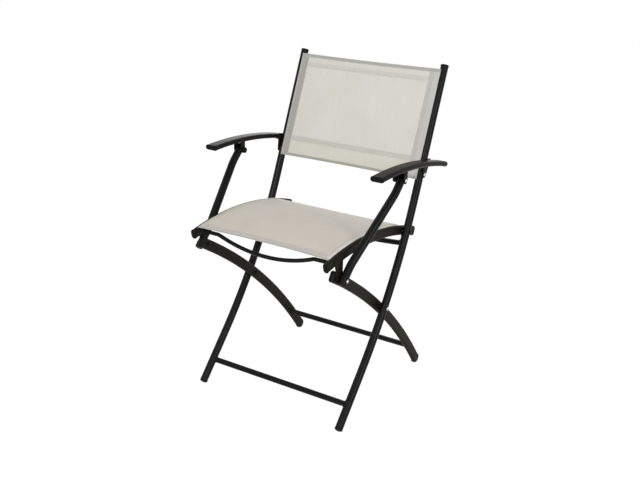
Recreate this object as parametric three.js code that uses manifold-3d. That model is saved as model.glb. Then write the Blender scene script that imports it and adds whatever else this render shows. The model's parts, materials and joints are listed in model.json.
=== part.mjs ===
// Folding sling patio chair with arms. Millimetres, +Z up, the sitter faces -Y, +X is the sitter's left.
// Two long round tubes are the back posts and the front legs. Two arched oval bars cross them as rear
// legs. Oval seat rails swing on the tubes and hook over the rear legs' front pivots. Each armrest swings
// on a tube, and a cranked strut ties it to the rear leg. The cloth is held by its beaded edges in slots.
import * as THREE from 'three';
import { mergeVertices } from 'three/addons/utils/BufferGeometryUtils.js';
import Module from 'manifold-3d';

const wasm = await Module();
wasm.setup();

const rad = THREE.MathUtils.degToRad;

// Frame.
const frameHalfWidth = 234.8;      // middle plane of each round side tube
const tubeRadius = 11;
const tubeWall = 1.5;
const footY = -249.8;              // centre of the tube's lower end
const footLean = rad(42.2);        // lean from upright of the front leg
const backLean = rad(23.2);        // lean from upright of the back post
const legStraightLength = 155.6;   // straight front leg, from the end to the bend
const legBendLength = 517.6;       // long soft bend under the seat
const postStraightLength = 364.3;  // straight back post
const scissorAlong = 349.9;        // places on the tube, measured along it from its lower end
const seatPivotAlong = 570.5;
const armPivotAlong = 735.2;
const frontBarAlong = 67;
const crossbarRadius = 8;
const crossbarWall = 1.5;
const fitGap = 0.3;                // play between neighbouring pieces
const weldGap = 0.3;

// Flat-oval bars: rear legs and seat rails.
const ovalWide = 13.5;
const ovalTall = 30.5;
const ovalWall = 1.5;
const legArcRadius = 1524;
const legSlope = rad(41.9);        // slope of the rear leg where it crosses the tube
const frontPivotAlong = 261.9;     // scissor pivot to front pivot, along the leg
const legNose = 24.4;              // leg tube past the front pivot
const rearBarAlong = 277.5;
const railTall = 27.5;
const railArcRadius = 806;
const railRearLength = 71.3;

// Bars under the seat.
const frontRodRadius = 5.5;
const frontRodAhead = 13.5;        // ahead of the hook plate's middle
const frontRodDrop = 5.8;          // below the middle of the rail
const frontRodShoulder = 46.4;
const frontRodBow = 29;
const frontRodBendRadius = 30;
const rearRodRadius = 7.5;
const rearRodAlong = 21.8;         // behind the seat pivot
const rearRodDrop = 41.4;
const rearRodBow = 8.4;
const rearRodBendRadius = 20;
const hookAhead = 3.5;             // front pivot to the rail's middle line over it
const hookAbove = 53.3;
const hookFromNose = 45.4;         // rail's front end to the middle of the hook plate
const hookWide = 40;               // hook plate, where it leaves the rail
const hookRound = 13;              // radius of the plate's end, about the front pivot
const foldAngle = 64;              // how far the rear legs swing to fold, and the seat with them
const flipAngle = 91;

// Arms and struts.
const armWide = 39;
const armThick = 14;
const armWall = 1.5;
const armAbovePivot = 36.3;
const armSlope = rad(12.9);        // slope of the arm over its pivot
const armArcRadius = 1110;
const armBehindPivot = 58.6;
const armAheadPivot = 290.7;
const earRound = 10;               // the arm's inner plate, round about its pivot
const earOverArm = 2;              // the plate's top edge over the arm's top
const earFront = 6;                // the plate's top edge, ahead of its pivot and behind it
const earRear = 34;
const shelfWide = 14;              // the plate's turned-out shelf under the arm
const shelfLong = 26;
const strutRadius = 11;
const strutWall = 1.5;
const strutPivotAhead = 167.8;     // arm pivot to strut pivot
const strutPivotAbove = 30.8;
const strutTopPlane = 33.4;        // outside the tube's middle plane
const strutEndLength = 43.6;       // straight ends of the cranked strut
const strutOverrun = 12.1;         // tube past each pivot
const strutBendLength = 24;
const clevisPlay = 0.5;            // strut to each cheek of the arm's bracket
const clevisWide = 17;
const clevisRound = 9;
const knobRadius = 8.5;
const knobHigh = 9;
const knobRootShare = 0.8;
const knobFaceShare = 0.75;

// Plates, bolts, caps.
const plate = 2;
const spacerThick = 1.7;           // washers between the round tubes and the oval bars
const boltRadius = 3;
const boltPlay = 0.35;
const headRadius = 5.4;
const headHigh = 3.2;
const nutHigh = 4;
const spacerRadius = 8;
const capLip = 0.5;                // how far a cap stands proud of its tube
const capThick = 5;
const capPlug = 8;
const capEdgeShare = 0.4;          // rounding of a cap's edge, of its thickness
const plugPlay = 0.4;
const footFlat = 2.4;              // how much of a foot the floor flat takes off
const rearFootFlat = 0.8;

// Cloth.
const clothThick = 1.4;
const clothPlay = 0.4;
const beadRadius = 2.3;
const beadPlay = 1.1;              // bead to the wall of the bar that holds it
const slotPlay = 0.6;
const backClothLong = 311.1;       // along the post
const backClothDown = 9.9;         // post's upper end to the cloth
const backSlotTurn = rad(20);      // the post's slot, turned in from straight ahead
const slotLength = 4;              // slot below the cloth's lower edge
const seatClothFront = 14;         // rail's front end to the cloth
const seatClothRear = 12;          // seat pivot to the cloth's rear edge
const seatSlotTurn = rad(30);      // the rail's slot, turned in from straight up

// Facets.
const tubeQuarters = 4;
const ovalQuarters = 3;
const clothQuarters = 2;
const tubeSteps = 10;
const legSteps = 10;
const railSteps = 14;
const clothSteps = 12;
const bowSteps = 10;
const armSteps = 8;
const bendSteps = 3;
const tightBendSteps = 5;

// Colours from the photograph.
const tubePaint = new THREE.MeshStandardMaterial({ color: 0x2b2b2c, roughness: 0.45, metalness: 0.35 });
const ovalPaint = new THREE.MeshStandardMaterial({ color: 0x35312c, roughness: 0.55, metalness: 0.3 });
const blackPlastic = new THREE.MeshStandardMaterial({ color: 0x17171a, roughness: 0.5, metalness: 0 });
const zincSteel = new THREE.MeshStandardMaterial({ color: 0xb9b9b6, roughness: 0.35, metalness: 0.9 });
const slingCloth = new THREE.MeshStandardMaterial({ color: 0xcbc7bd, roughness: 0.85, metalness: 0 });

const chair = new THREE.Group();

// Small tools.
// A bent bar's centre line in one plane: an origin, two axes of the plane, a heading and a list of runs,
// each straight or of one even bend, with its share of the facets.
class BentPath extends THREE.Curve {
  constructor(origin, along, across, heading, runs) {
    super();
    Object.assign(this, { origin, along, across, heading, runs });
    this.total = runs.reduce((sum, run) => sum + run.length, 0);
    this.steps = runs.reduce((sum, run) => sum + (run.steps ?? 1), 0);
  }

  at(distance) {
    const spot = { a: 0, b: 0, heading: this.heading };
    let left = distance;
    for (const run of this.runs) {
      const last = run === this.runs[this.runs.length - 1];
      const go = last ? left : Math.min(left, run.length);
      step(spot, go, (run.turn ?? 0) / run.length);
      left -= go;
      if (left <= 0) break;
    }
    return spot;
  }

  getUtoTmapping(u) {
    return u;
  }

  getPoint(t, target = new THREE.Vector3()) {
    let left = t * this.steps;
    let distance = 0;
    for (const run of this.runs) {
      const steps = run.steps ?? 1;
      distance += run.length * Math.min(left, steps) / steps;
      left = Math.max(left - steps, 0);
    }
    const spot = this.at(distance);
    target.copy(this.origin);
    return target.addScaledVector(this.along, spot.a).addScaledVector(this.across, spot.b);
  }
}

function step(spot, length, curvature) {
  const half = curvature * length / 2;
  const chord = half === 0 ? length : length * Math.sin(half) / half;
  spot.a += chord * Math.cos(spot.heading + half);
  spot.b += chord * Math.sin(spot.heading + half);
  spot.heading += curvature * length;
}

const X = new THREE.Vector3(1, 0, 0);
const Y = new THREE.Vector3(0, 1, 0);
const Z = new THREE.Vector3(0, 0, 1);

function sidePath(x, start, heading, runs) {
  return new BentPath(new THREE.Vector3(x, start.y, start.z), Y, Z, heading, runs);
}

// A point in the side view, with the heading there, and a point off it by its normal.
function along(path, distance) {
  const spot = path.at(distance);
  return { y: path.origin.y + spot.a, z: path.origin.z + spot.b, heading: spot.heading };
}

function off(spot, forth, up) {
  const c = Math.cos(spot.heading);
  const s = Math.sin(spot.heading);
  return { y: spot.y + forth * c - up * s, z: spot.z + forth * s + up * c, heading: spot.heading };
}

function onArc(start, radius, distance) {
  const spot = { a: start.y, b: start.z, heading: start.heading };
  step(spot, distance, -1 / radius);
  return { y: spot.a, z: spot.b, heading: spot.heading };
}

function roundShape(radius, wall) {
  const shape = new THREE.Shape();
  shape.absarc(0, 0, radius, 0, Math.PI * 2);
  if (wall) {
    const bore = new THREE.Path();
    bore.absarc(0, 0, radius - wall, 0, Math.PI * 2, true);
    shape.holes.push(bore);
  }
  return shape;
}

function ovalOutline(target, wide, tall) {
  const r = Math.min(wide, tall) / 2;
  const dx = wide / 2 - r;
  const dy = tall / 2 - r;
  if (dy > dx) {
    target.absarc(0, dy, r, 0, Math.PI);
    target.absarc(0, -dy, r, Math.PI, Math.PI * 2);
  } else {
    target.absarc(dx, 0, r, -Math.PI / 2, Math.PI / 2);
    target.absarc(-dx, 0, r, Math.PI / 2, Math.PI * 3 / 2);
  }
  return target;
}

function ovalShape(wide, tall, wall) {
  const shape = ovalOutline(new THREE.Shape(), wide, tall);
  if (wall) shape.holes.push(ovalOutline(new THREE.Path(), wide - 2 * wall, tall - 2 * wall));
  return shape;
}

function straightBar(shape, depth) {
  return new THREE.ExtrudeGeometry(shape, { depth, bevelEnabled: false, curveSegments: tubeQuarters * 2 });
}

function outline(points) {
  return new THREE.Shape(points.map(([a, b]) => new THREE.Vector2(a, b)));
}

function sweep(shape, path, curveSegments) {
  return new THREE.ExtrudeGeometry(shape, { extrudePath: path, steps: path.steps, curveSegments });
}

// A flat shape drawn in the side view (y, z), made solid between two planes x0 < x1.
function sidePlate(shape, x0, x1, quarters = ovalQuarters) {
  const options = { depth: x1 - x0, bevelEnabled: false, curveSegments: quarters };
  const geometry = new THREE.ExtrudeGeometry(shape, options);
  const turn = new THREE.Matrix4().makeBasis(Y, Z, X);
  geometry.applyMatrix4(turn);
  geometry.translate(x0, 0, 0);
  return geometry;
}

function solid(geometry) {
  const bare = geometry.index ? geometry.toNonIndexed() : geometry.clone();
  for (const name of Object.keys(bare.attributes)) if (name !== 'position') bare.deleteAttribute(name);
  const merged = mergeVertices(bare, fitGap / 1000);
  const vertProperties = new Float32Array(merged.attributes.position.array);
  const triVerts = new Uint32Array(merged.index.array);
  return new wasm.Manifold(new wasm.Mesh({ numProp: 3, vertProperties, triVerts }));
}

function surface(body) {
  const mesh = body.getMesh();
  const geometry = new THREE.BufferGeometry();
  geometry.setAttribute('position', new THREE.BufferAttribute(new Float32Array(mesh.vertProperties), 3));
  geometry.setIndex(new THREE.BufferAttribute(new Uint32Array(mesh.triVerts), 1));
  geometry.computeVertexNormals();
  return geometry;
}

function cut(geometry, ...tools) {
  let body = solid(geometry);
  for (const tool of tools) body = body.subtract(solid(tool));
  return surface(body);
}

function join(geometry, ...others) {
  let body = solid(geometry);
  for (const other of others) body = body.add(solid(other));
  return surface(body);
}

// A round rod or drill along X, between two planes.
function crossRod(radius, spot, x0, x1, sides = 4 * ovalQuarters) {
  const geometry = new THREE.CylinderGeometry(radius, radius, x1 - x0, sides);
  geometry.rotateZ(-Math.PI / 2);
  geometry.translate((x0 + x1) / 2, spot.y, spot.z);
  return geometry;
}

function add(name, geometry, material) {
  const mesh = new THREE.Mesh(geometry, material);
  mesh.name = name;
  chair.add(mesh);
  return mesh;
}

// Puts a piece made along its own +Z on a bar's end, pointing out along the bar.
function aim(mesh, point, direction) {
  const out = direction.clone().normalize();
  const up = new THREE.Vector3().crossVectors(out, X).normalize();
  mesh.quaternion.setFromRotationMatrix(new THREE.Matrix4().makeBasis(X, up, out));
  mesh.position.copy(point);
  return mesh;
}

function sideName(side) {
  return side > 0 ? 'left' : 'right';
}

function vec(x, spot) {
  return new THREE.Vector3(x, spot.y, spot.z);
}

function headingVector(spot, sign = 1) {
  return new THREE.Vector3(0, sign * Math.cos(spot.heading), sign * Math.sin(spot.heading));
}

// The shared side view.
const capRadius = tubeRadius + capLip;
const footRise = (capThick + fitGap) * Math.cos(footLean) + capRadius * Math.sin(footLean) - footFlat;
const tubeRuns = [
  { length: legStraightLength },
  { length: legBendLength, turn: footLean - backLean, steps: tubeSteps },
  { length: postStraightLength },
];
const upright = Math.PI / 2;
const tubeLine = (x) => sidePath(x, { y: footY, z: footRise }, upright - footLean, tubeRuns);
const middleTube = tubeLine(0);
const tubeLength = middleTube.total;
const scissor = along(middleTube, scissorAlong);
const seatPivot = along(middleTube, seatPivotAlong);
const armPivot = along(middleTube, armPivotAlong);
const frontBar = along(middleTube, frontBarAlong);
const innerPlane = frameHalfWidth - tubeRadius - spacerThick - 2 * fitGap - ovalWide / 2;
const slotWide = clothThick + 2 * slotPlay;
const backClothHigh = tubeLength - backClothDown;
const backClothLow = backClothHigh - backClothLong;
const backBeadDepth = tubeRadius - tubeWall - beadRadius - beadPlay;
const seatBeadDepth = ovalWide / 2 - ovalWall - beadRadius - beadPlay;

const legAtScissor = { ...scissor, heading: -legSlope };
const legArc = (distance) => onArc(legAtScissor, legArcRadius, distance);
const frontPivot = legArc(-frontPivotAlong);
const legFront = -(frontPivotAlong + legNose);
const rearFootRadius = ovalTall / 2;
const legCentreZ = scissor.z - legArcRadius * Math.cos(legSlope);
const footAngle = Math.acos((rearFootRadius - rearFootFlat - legCentreZ) / legArcRadius);
const legRear = legArcRadius * (footAngle - legSlope);

// the rail's arc runs from the seat pivot to its hook plate over the rear leg's front pivot
const hookSpot = { y: frontPivot.y - hookAhead, z: frontPivot.z + hookAbove };
const railChord = Math.hypot(seatPivot.y - hookSpot.y, seatPivot.z - hookSpot.z);
const railHalfAngle = Math.asin(railChord / (2 * railArcRadius));
const railChordSlope = Math.atan2(seatPivot.z - hookSpot.z, seatPivot.y - hookSpot.y);
const railToHook = 2 * railArcRadius * railHalfAngle;
const railFrontLength = railToHook + hookFromNose;
const railAtPivot = { ...seatPivot, heading: railChordSlope - railHalfAngle };
const railArc = (distance) => onArc(railAtPivot, railArcRadius, distance);

const strutPivot = { y: armPivot.y - strutPivotAhead, z: armPivot.z + strutPivotAbove };
const hookOuter = innerPlane + ovalWide / 2 + weldGap + plate;
const strutFootPlane = hookOuter + fitGap + strutRadius - frameHalfWidth;

function arcPath(x, spotAt, from, to, radius, steps) {
  const start = spotAt(from);
  const run = { length: to - from, turn: -(to - from) / radius, steps };
  return sidePath(x, start, start.heading, [run]);
}

// Caps and bolts.
// A piece turned on a lathe, its profile given as radius and height pairs.
function turned(profile, quarters) {
  return new THREE.LatheGeometry(profile.map(([r, h]) => new THREE.Vector2(r, h)), 4 * quarters);
}

// A round plug cap along +Z: its lip sits on the tube's end at zero, its plug goes into the bore.
function roundCap(radius, wall, thick) {
  const lip = radius + capLip;
  const edge = thick / 3;
  const plug = radius - wall - plugPlay;
  const profile = [
    [0, -capPlug], [plug, -capPlug], [plug, fitGap], [lip, fitGap],
    [lip, fitGap + thick - edge], [lip - edge, fitGap + thick], [0, fitGap + thick],
  ];
  const geometry = turned(profile, tubeQuarters);
  geometry.rotateX(upright);
  return geometry;
}

// The same for an oval or flat bar.
function flatCap(wide, tall, wall, thick, lip = capLip) {
  const edge = thick * capEdgeShare;
  const face = ovalShape(wide + 2 * (lip - edge), tall + 2 * (lip - edge));
  const head = new THREE.ExtrudeGeometry(face, {
    depth: thick - 2 * edge, bevelThickness: edge, bevelSize: edge, bevelSegments: 1,
    curveSegments: ovalQuarters,
  });
  head.translate(0, 0, fitGap + edge);
  const play = 2 * (wall + plugPlay);
  const plug = new THREE.ExtrudeGeometry(ovalShape(wide - play, tall - play), {
    depth: capPlug + fitGap + thick / 2, bevelEnabled: false, curveSegments: ovalQuarters,
  });
  plug.translate(0, 0, -capPlug);
  return join(head, plug);
}

// A bolt with its nut, along X from the inner nut face to the outer head face.
function bolt(name, side, spot, inner, outer) {
  const length = outer - inner;
  const profile = [
    [0, -nutHigh], [headRadius - nutHigh / 3, -nutHigh], [headRadius, -nutHigh / 2], [headRadius, 0],
    [boltRadius, 0], [boltRadius, length], [headRadius, length],
    [headRadius * 2 / 3, length + headHigh * 3 / 4], [0, length + headHigh],
  ];
  const geometry = turned(profile, ovalQuarters);
  geometry.rotateZ(-upright);
  const mesh = add(name, geometry, zincSteel);
  mesh.position.set(side * inner, spot.y, spot.z);
  if (side < 0) mesh.rotation.z = Math.PI;
  return mesh;
}

function spacer(name, side, spot) {
  const from = innerPlane + ovalWide / 2 + fitGap;
  const to = frameHalfWidth - tubeRadius - fitGap;
  const ring = roundShape(spacerRadius, spacerRadius - boltRadius - boltPlay);
  const depth = to - from;
  const curveSegments = ovalQuarters * 2;
  const geometry = new THREE.ExtrudeGeometry(ring, { depth, bevelEnabled: false, curveSegments });
  geometry.rotateY(upright);
  const mesh = add(name, geometry, blackPlastic);
  mesh.position.set(side > 0 ? from : -to, spot.y, spot.z);
}

function drill(spot, side, from, to) {
  const x0 = Math.min(side * from, side * to);
  const x1 = Math.max(side * from, side * to);
  return crossRod(boltRadius + boltPlay, spot, x0, x1);
}

// Main frame.
const inTube = frameHalfWidth - 2 * tubeRadius;
const outTube = frameHalfWidth + 2 * tubeRadius;

// The slot that takes the back cloth's beaded edge, cut through the front of the post.
function postSlot(side) {
  const high = tubeLength - backClothLow + 2 * slotLength;
  const deep = 2 * tubeWall + 2 * clothPlay;
  const geometry = new THREE.BoxGeometry(slotWide, deep, high);
  geometry.translate(0, -(tubeRadius - tubeWall / 2), high / 2);
  geometry.rotateZ(-side * backSlotTurn);
  geometry.rotateX(-backLean);
  const low = along(middleTube, backClothLow - slotLength);
  geometry.translate(side * frameHalfWidth, low.y, low.z);
  return geometry;
}

function sideTube(side) {
  const x = side * frameHalfWidth;
  const bar = sweep(roundShape(tubeRadius, tubeWall), tubeLine(x), tubeQuarters * 2);
  const holes = [scissor, seatPivot, armPivot].map((spot) => drill(spot, side, inTube, outTube));
  add(`main_tube_${sideName(side)}`, cut(bar, ...holes, postSlot(side)), tubePaint);
}

function postCap(side) {
  const end = along(middleTube, tubeLength);
  const cap = add(`post_cap_${sideName(side)}`, roundCap(tubeRadius, tubeWall, capThick), blackPlastic);
  aim(cap, vec(side * frameHalfWidth, end), headingVector(end));
}

// The front foot's cap, with a small flat where it stands on the floor.
function footCap(side) {
  const end = along(middleTube, 0);
  const geometry = roundCap(tubeRadius, tubeWall, capThick);
  const place = new THREE.Object3D();
  aim(place, vec(side * frameHalfWidth, end), headingVector(end, -1));
  place.updateMatrix();
  geometry.applyMatrix4(place.matrix);
  const big = 4 * capRadius;
  const ground = new THREE.BoxGeometry(big, big, big);
  ground.translate(side * frameHalfWidth, end.y, -big / 2);
  add(`foot_cap_front_${sideName(side)}`, cut(geometry, ground), blackPlastic);
}

// The front crossbar, its ends coped to the round legs that it is welded to.
function frontCrossbar() {
  const half = frameHalfWidth;
  const shape = roundShape(crossbarRadius, crossbarWall);
  const geometry = straightBar(shape, 2 * half);
  geometry.translate(0, 0, -half);
  geometry.rotateY(upright);
  geometry.translate(0, frontBar.y, frontBar.z);
  const coping = [-1, 1].map((side) => {
    const radius = tubeRadius + weldGap;
    const tool = new THREE.CylinderGeometry(radius, radius, legStraightLength, 8 * tubeQuarters);
    tool.rotateX(upright - footLean);
    tool.translate(side * half, frontBar.y, frontBar.z);
    return tool;
  });
  const outside = [-1, 1].map((side) => {
    const tool = new THREE.BoxGeometry(tubeRadius, 4 * crossbarRadius, 4 * crossbarRadius);
    tool.translate(side * (half + tubeRadius / 2), frontBar.y, frontBar.z);
    return tool;
  });
  add('front_crossbar', cut(geometry, ...coping, ...outside), tubePaint);
}

// The back cloth's section, seen along the post: a flat panel and, at each end, a neck that turns into
// the post's slot and ends in a bead inside the post. u runs in from the post, n runs forward of it.
function backSection() {
  const low = tubeRadius + clothPlay;
  const high = low + clothThick;
  const s = Math.sin(backSlotTurn);
  const c = Math.cos(backSlotTurn);
  const half = clothThick / 2;
  const spot = (r, w) => [r * s + w * c, r * c - w * s];
  const atHeight = (n, w) => spot((n + w * s) / c, w);
  const open = Math.asin(half / beadRadius);
  const bead = [];
  const count = 4 * clothQuarters;
  for (let i = 0; i <= count; i += 1) {
    const a = open + (2 * Math.PI - 2 * open) * i / count;
    bead.push(spot(backBeadDepth + beadRadius * Math.cos(a), -beadRadius * Math.sin(a)));
  }
  return [atHeight(high, -half), ...bead, atHeight(low, half)];
}

function backSling() {
  const edge = backSection();
  const right = edge.map(([u, n]) => [frameHalfWidth - u, -n]);
  const left = edge.map(([u, n]) => [-(frameHalfWidth - u), -n]).reverse();
  const shape = outline([...right, ...left]);
  const run = backClothHigh - backClothLow;
  const geometry = new THREE.ExtrudeGeometry(shape, { depth: run, bevelEnabled: false });
  geometry.rotateX(-backLean);
  const low = along(middleTube, backClothLow);
  const mesh = add('back_sling', geometry, slingCloth);
  mesh.position.set(0, low.y, low.z);
}

function mainBolts(side) {
  const name = sideName(side);
  const legInner = innerPlane - ovalWide / 2 - fitGap;
  const tubeOuter = frameHalfWidth + tubeRadius + fitGap;
  bolt(`scissor_bolt_${name}`, side, scissor, legInner, tubeOuter);
  bolt(`seat_pivot_bolt_${name}`, side, seatPivot, legInner, tubeOuter);
  const tubeInner = frameHalfWidth - tubeRadius - fitGap;
  bolt(`arm_pivot_bolt_${name}`, side, armPivot, tubeInner, tubeOuter + plate + fitGap);
  spacer(`scissor_spacer_${name}`, side, scissor);
  spacer(`seat_pivot_spacer_${name}`, side, seatPivot);
}

// Rear legs.
const ovalIn = innerPlane - ovalWide;
const ovalOut = innerPlane + ovalWide;

function rearLeg(side) {
  const path = arcPath(side * innerPlane, legArc, legFront, legRear, legArcRadius, legSteps);
  const bar = sweep(ovalShape(ovalWide, ovalTall, ovalWall), path, ovalQuarters);
  const holes = [scissor, frontPivot].map((spot) => drill(spot, side, ovalIn, ovalOut));
  add(`rear_leg_${sideName(side)}`, cut(bar, ...holes), ovalPaint);
}

function legNoseCap(side) {
  const end = legArc(legFront);
  // flush with the leg's sides, so that it passes the hook plate
  const geometry = flatCap(ovalWide, ovalTall, ovalWall, capThick, 0);
  const cap = add(`rear_leg_nose_cap_${sideName(side)}`, geometry, blackPlastic);
  aim(cap, vec(side * innerPlane, end), headingVector(end, -1));
}

// The rear foot: a round-ended cap on the oval bar, with a small flat on the floor.
function rearFootCap(side) {
  const end = legArc(legRear);
  const round = new THREE.Shape();
  round.absarc(0, 0, rearFootRadius, 0, Math.PI * 2);
  const edge = ovalWide / 6;
  const width = ovalWide - 2 * edge;
  const head = new THREE.ExtrudeGeometry(round, {
    depth: width, bevelThickness: edge, bevelSize: edge, bevelOffset: -edge, bevelSegments: 1,
    curveSegments: 2 * tubeQuarters,
  });
  head.translate(0, 0, -width / 2);
  head.rotateY(upright);
  const big = 2 * ovalTall;
  const inner = new THREE.BoxGeometry(big, big, big);
  inner.translate(0, 0, -big / 2 + fitGap);
  const play = 2 * (ovalWall + plugPlay);
  const plug = new THREE.ExtrudeGeometry(ovalShape(ovalWide - play, ovalTall - play), {
    depth: capPlug + rearFootRadius / 2, bevelEnabled: false, curveSegments: ovalQuarters,
  });
  plug.translate(0, 0, -capPlug);
  const geometry = join(cut(head, inner), plug);
  const place = new THREE.Object3D();
  aim(place, vec(side * innerPlane, end), headingVector(end));
  place.updateMatrix();
  geometry.applyMatrix4(place.matrix);
  const ground = new THREE.BoxGeometry(big, big, big);
  ground.translate(side * innerPlane, end.y, -big / 2);
  add(`foot_cap_rear_${sideName(side)}`, cut(geometry, ground), blackPlastic);
}

function rearCrossbar() {
  const half = innerPlane - ovalWide / 2 - weldGap;
  const spot = legArc(rearBarAlong);
  const shape = roundShape(crossbarRadius, crossbarWall);
  const geometry = straightBar(shape, 2 * half);
  geometry.rotateY(upright);
  const mesh = add('rear_crossbar', geometry, tubePaint);
  mesh.position.set(-half, spot.y, spot.z);
}

// The part of the front pivot that stays in the rear leg. The seat's hook plate drops over its outer end.
function frontPivotPin(side) {
  const inner = innerPlane - ovalWide / 2 - fitGap;
  const length = hookOuter - inner;
  const profile = [
    [0, -nutHigh], [headRadius - nutHigh / 3, -nutHigh], [headRadius, -nutHigh / 2], [headRadius, 0],
    [boltRadius, 0], [boltRadius, length], [0, length],
  ];
  const geometry = turned(profile, ovalQuarters);
  geometry.rotateZ(-upright);
  const mesh = add(`front_pivot_pin_${sideName(side)}`, geometry, zincSteel);
  mesh.position.set(side * inner, frontPivot.y, frontPivot.z);
  if (side < 0) mesh.rotation.z = Math.PI;
}

// Seat.
// The rail's section: an oval tube with a slot for the cloth along the inner side of its rounded top.
function railShape() {
  const r = ovalWide / 2;
  const dy = railTall / 2 - r;
  const ri = r - ovalWall;
  const way = upright - seatSlotTurn;
  const half = Math.asin(slotWide / 2 / r);
  const halfIn = Math.asin(slotWide / 2 / ri);
  const shape = new THREE.Shape();
  shape.absarc(0, dy, r, way + half, Math.PI);
  shape.absarc(0, -dy, r, Math.PI, Math.PI * 2);
  shape.absarc(0, dy, r, 0, way - half);
  shape.absarc(0, dy, ri, way - halfIn, 0, true);
  shape.absarc(0, -dy, ri, Math.PI * 2, Math.PI, true);
  shape.absarc(0, dy, ri, Math.PI, way + halfIn, true);
  shape.closePath();
  return shape;
}

function seatRail(side) {
  // the sweep lays a section's own x along -X, so the slot comes out on the left rail's inner side
  const path = arcPath(0, railArc, -railFrontLength, railRearLength, railArcRadius, railSteps);
  const bar = sweep(railShape(), path, ovalQuarters);
  if (side < 0) bar.applyMatrix4(new THREE.Matrix4().makeScale(-1, 1, 1));
  const geometry = side < 0 ? turnedOut(bar) : bar;
  geometry.translate(side * innerPlane, 0, 0);
  add(`seat_rail_${sideName(side)}`, cut(geometry, drill(seatPivot, side, ovalIn, ovalOut)), ovalPaint);
}

// A mirrored piece with its triangles wound the right way round again.
function turnedOut(geometry) {
  const flat = geometry.index ? geometry.toNonIndexed() : geometry;
  const position = flat.attributes.position;
  for (let i = 0; i < position.count; i += 3) {
    const b = new THREE.Vector3().fromBufferAttribute(position, i + 1);
    const c = new THREE.Vector3().fromBufferAttribute(position, i + 2);
    position.setXYZ(i + 1, c.x, c.y, c.z);
    position.setXYZ(i + 2, b.x, b.y, b.z);
  }
  return flat;
}

function railCaps(side) {
  const front = railArc(-railFrontLength);
  const rear = railArc(railRearLength);
  const name = sideName(side);
  const nose = add(`rail_front_cap_${name}`, flatCap(ovalWide, railTall, ovalWall, capThick), blackPlastic);
  aim(nose, vec(side * innerPlane, front), headingVector(front, -1));
  const tail = add(`rail_rear_cap_${name}`, flatCap(ovalWide, railTall, ovalWall, capThick), blackPlastic);
  aim(tail, vec(side * innerPlane, rear), headingVector(rear));
}

// A rod that runs level, bends down, bows evenly across the middle and comes up again the same way.
function bowRuns(half, shoulder, bow, bend) {
  const angle = 2 * Math.atan(bow / (half - shoulder));
  const sweepRadius = (half - shoulder) / Math.sin(angle) - bend;
  return [
    { length: shoulder },
    { length: bend * angle, turn: -angle, steps: bendSteps },
    { length: 2 * sweepRadius * angle, turn: 2 * angle, steps: bowSteps },
    { length: bend * angle, turn: -angle, steps: bendSteps },
    { length: shoulder },
  ];
}

// The front rod bows below the cloth, between level shoulders that are welded to the rails' inner sides.
function frontRod() {
  const spot = off(railArc(-railToHook - frontRodAhead), 0, -frontRodDrop);
  const half = innerPlane - ovalWide / 2 - weldGap;
  const runs = bowRuns(half, frontRodShoulder, frontRodBow, frontRodBendRadius);
  const path = new BentPath(new THREE.Vector3(-half, spot.y, spot.z), X, Z, 0, runs);
  add('front_bow_rod', sweep(roundShape(frontRodRadius), path, ovalQuarters * 2), tubePaint);
}

// The rear rod turns up at both ends and is coped to the undersides of the rails.
function rearRod() {
  const rail = railArc(rearRodAlong);
  const bottom = rail.z - rearRodDrop;
  const dip = 2 * Math.atan(rearRodBow / (innerPlane - rearRodBendRadius));
  const bowRadius = (innerPlane - rearRodBendRadius * (1 - Math.sin(dip))) / Math.sin(dip);
  const top = rail.z - railTall / 3;
  const rise = top - bottom - rearRodBendRadius * Math.cos(dip);
  const runs = [
    { length: rise },
    { length: rearRodBendRadius * (upright - dip), turn: upright - dip, steps: tightBendSteps },
    { length: 2 * bowRadius * dip, turn: 2 * dip, steps: bendSteps },
    { length: rearRodBendRadius * (upright - dip), turn: upright - dip, steps: tightBendSteps },
    { length: rise },
  ];
  const path = new BentPath(new THREE.Vector3(-innerPlane, rail.y, top), X, Z, -upright, runs);
  const rod = sweep(roundShape(rearRodRadius), path, ovalQuarters * 2);
  const copes = [-1, 1].map((side) => {
    const from = rearRodAlong - ovalTall;
    const line = arcPath(side * innerPlane, railArc, from, from + 2 * ovalTall, railArcRadius, bendSteps);
    return sweep(ovalShape(ovalWide + 2 * weldGap, railTall + 2 * weldGap), line, ovalQuarters * 2);
  });
  add('rear_bow_rod', cut(rod, ...copes), tubePaint);
}

// A side-view tongue: straight across its root, rounded about a pivot at its tip.
function tongue(rootFront, rootRear, tip, radius) {
  const middle = { y: (rootFront.y + rootRear.y) / 2, z: (rootFront.z + rootRear.z) / 2 };
  const heading = Math.atan2(tip.z - middle.z, tip.y - middle.y);
  const shape = new THREE.Shape();
  shape.moveTo(rootRear.y, rootRear.z);
  shape.lineTo(rootFront.y, rootFront.z);
  shape.absarc(tip.y, tip.z, radius, heading - upright, heading + upright);
  shape.closePath();
  return shape;
}

function slab(front, rear, high, low) {
  const corners = [off(front, 0, high), off(front, 0, low), off(rear, 0, low), off(rear, 0, high)];
  return outline(corners.map((spot) => [spot.y, spot.z]));
}

// The seat's hook plate: on the rail's outer side, notched at its foot to drop over the front pivot.
// The notch points the way the pin leaves when the seat flips up and the leg swings back.
function hookPlate(side) {
  const spot = railArc(-railToHook);
  const face = ovalWide / 2 + weldGap;
  const half = hookWide / 2;
  const top = railTall / 4;
  const shape = tongue(off(spot, -half, top), off(spot, half, top), frontPivot, hookRound);
  const outer = sidePlate(shape, face, face + plate, tubeQuarters);
  const geometry = cut(outer, ...hookNotch(face + 2 * plate));
  const mesh = mirroredPair('seat_hook_plate', side, geometry, ovalPaint);
  mesh.position.x = side * innerPlane;
}

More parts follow.
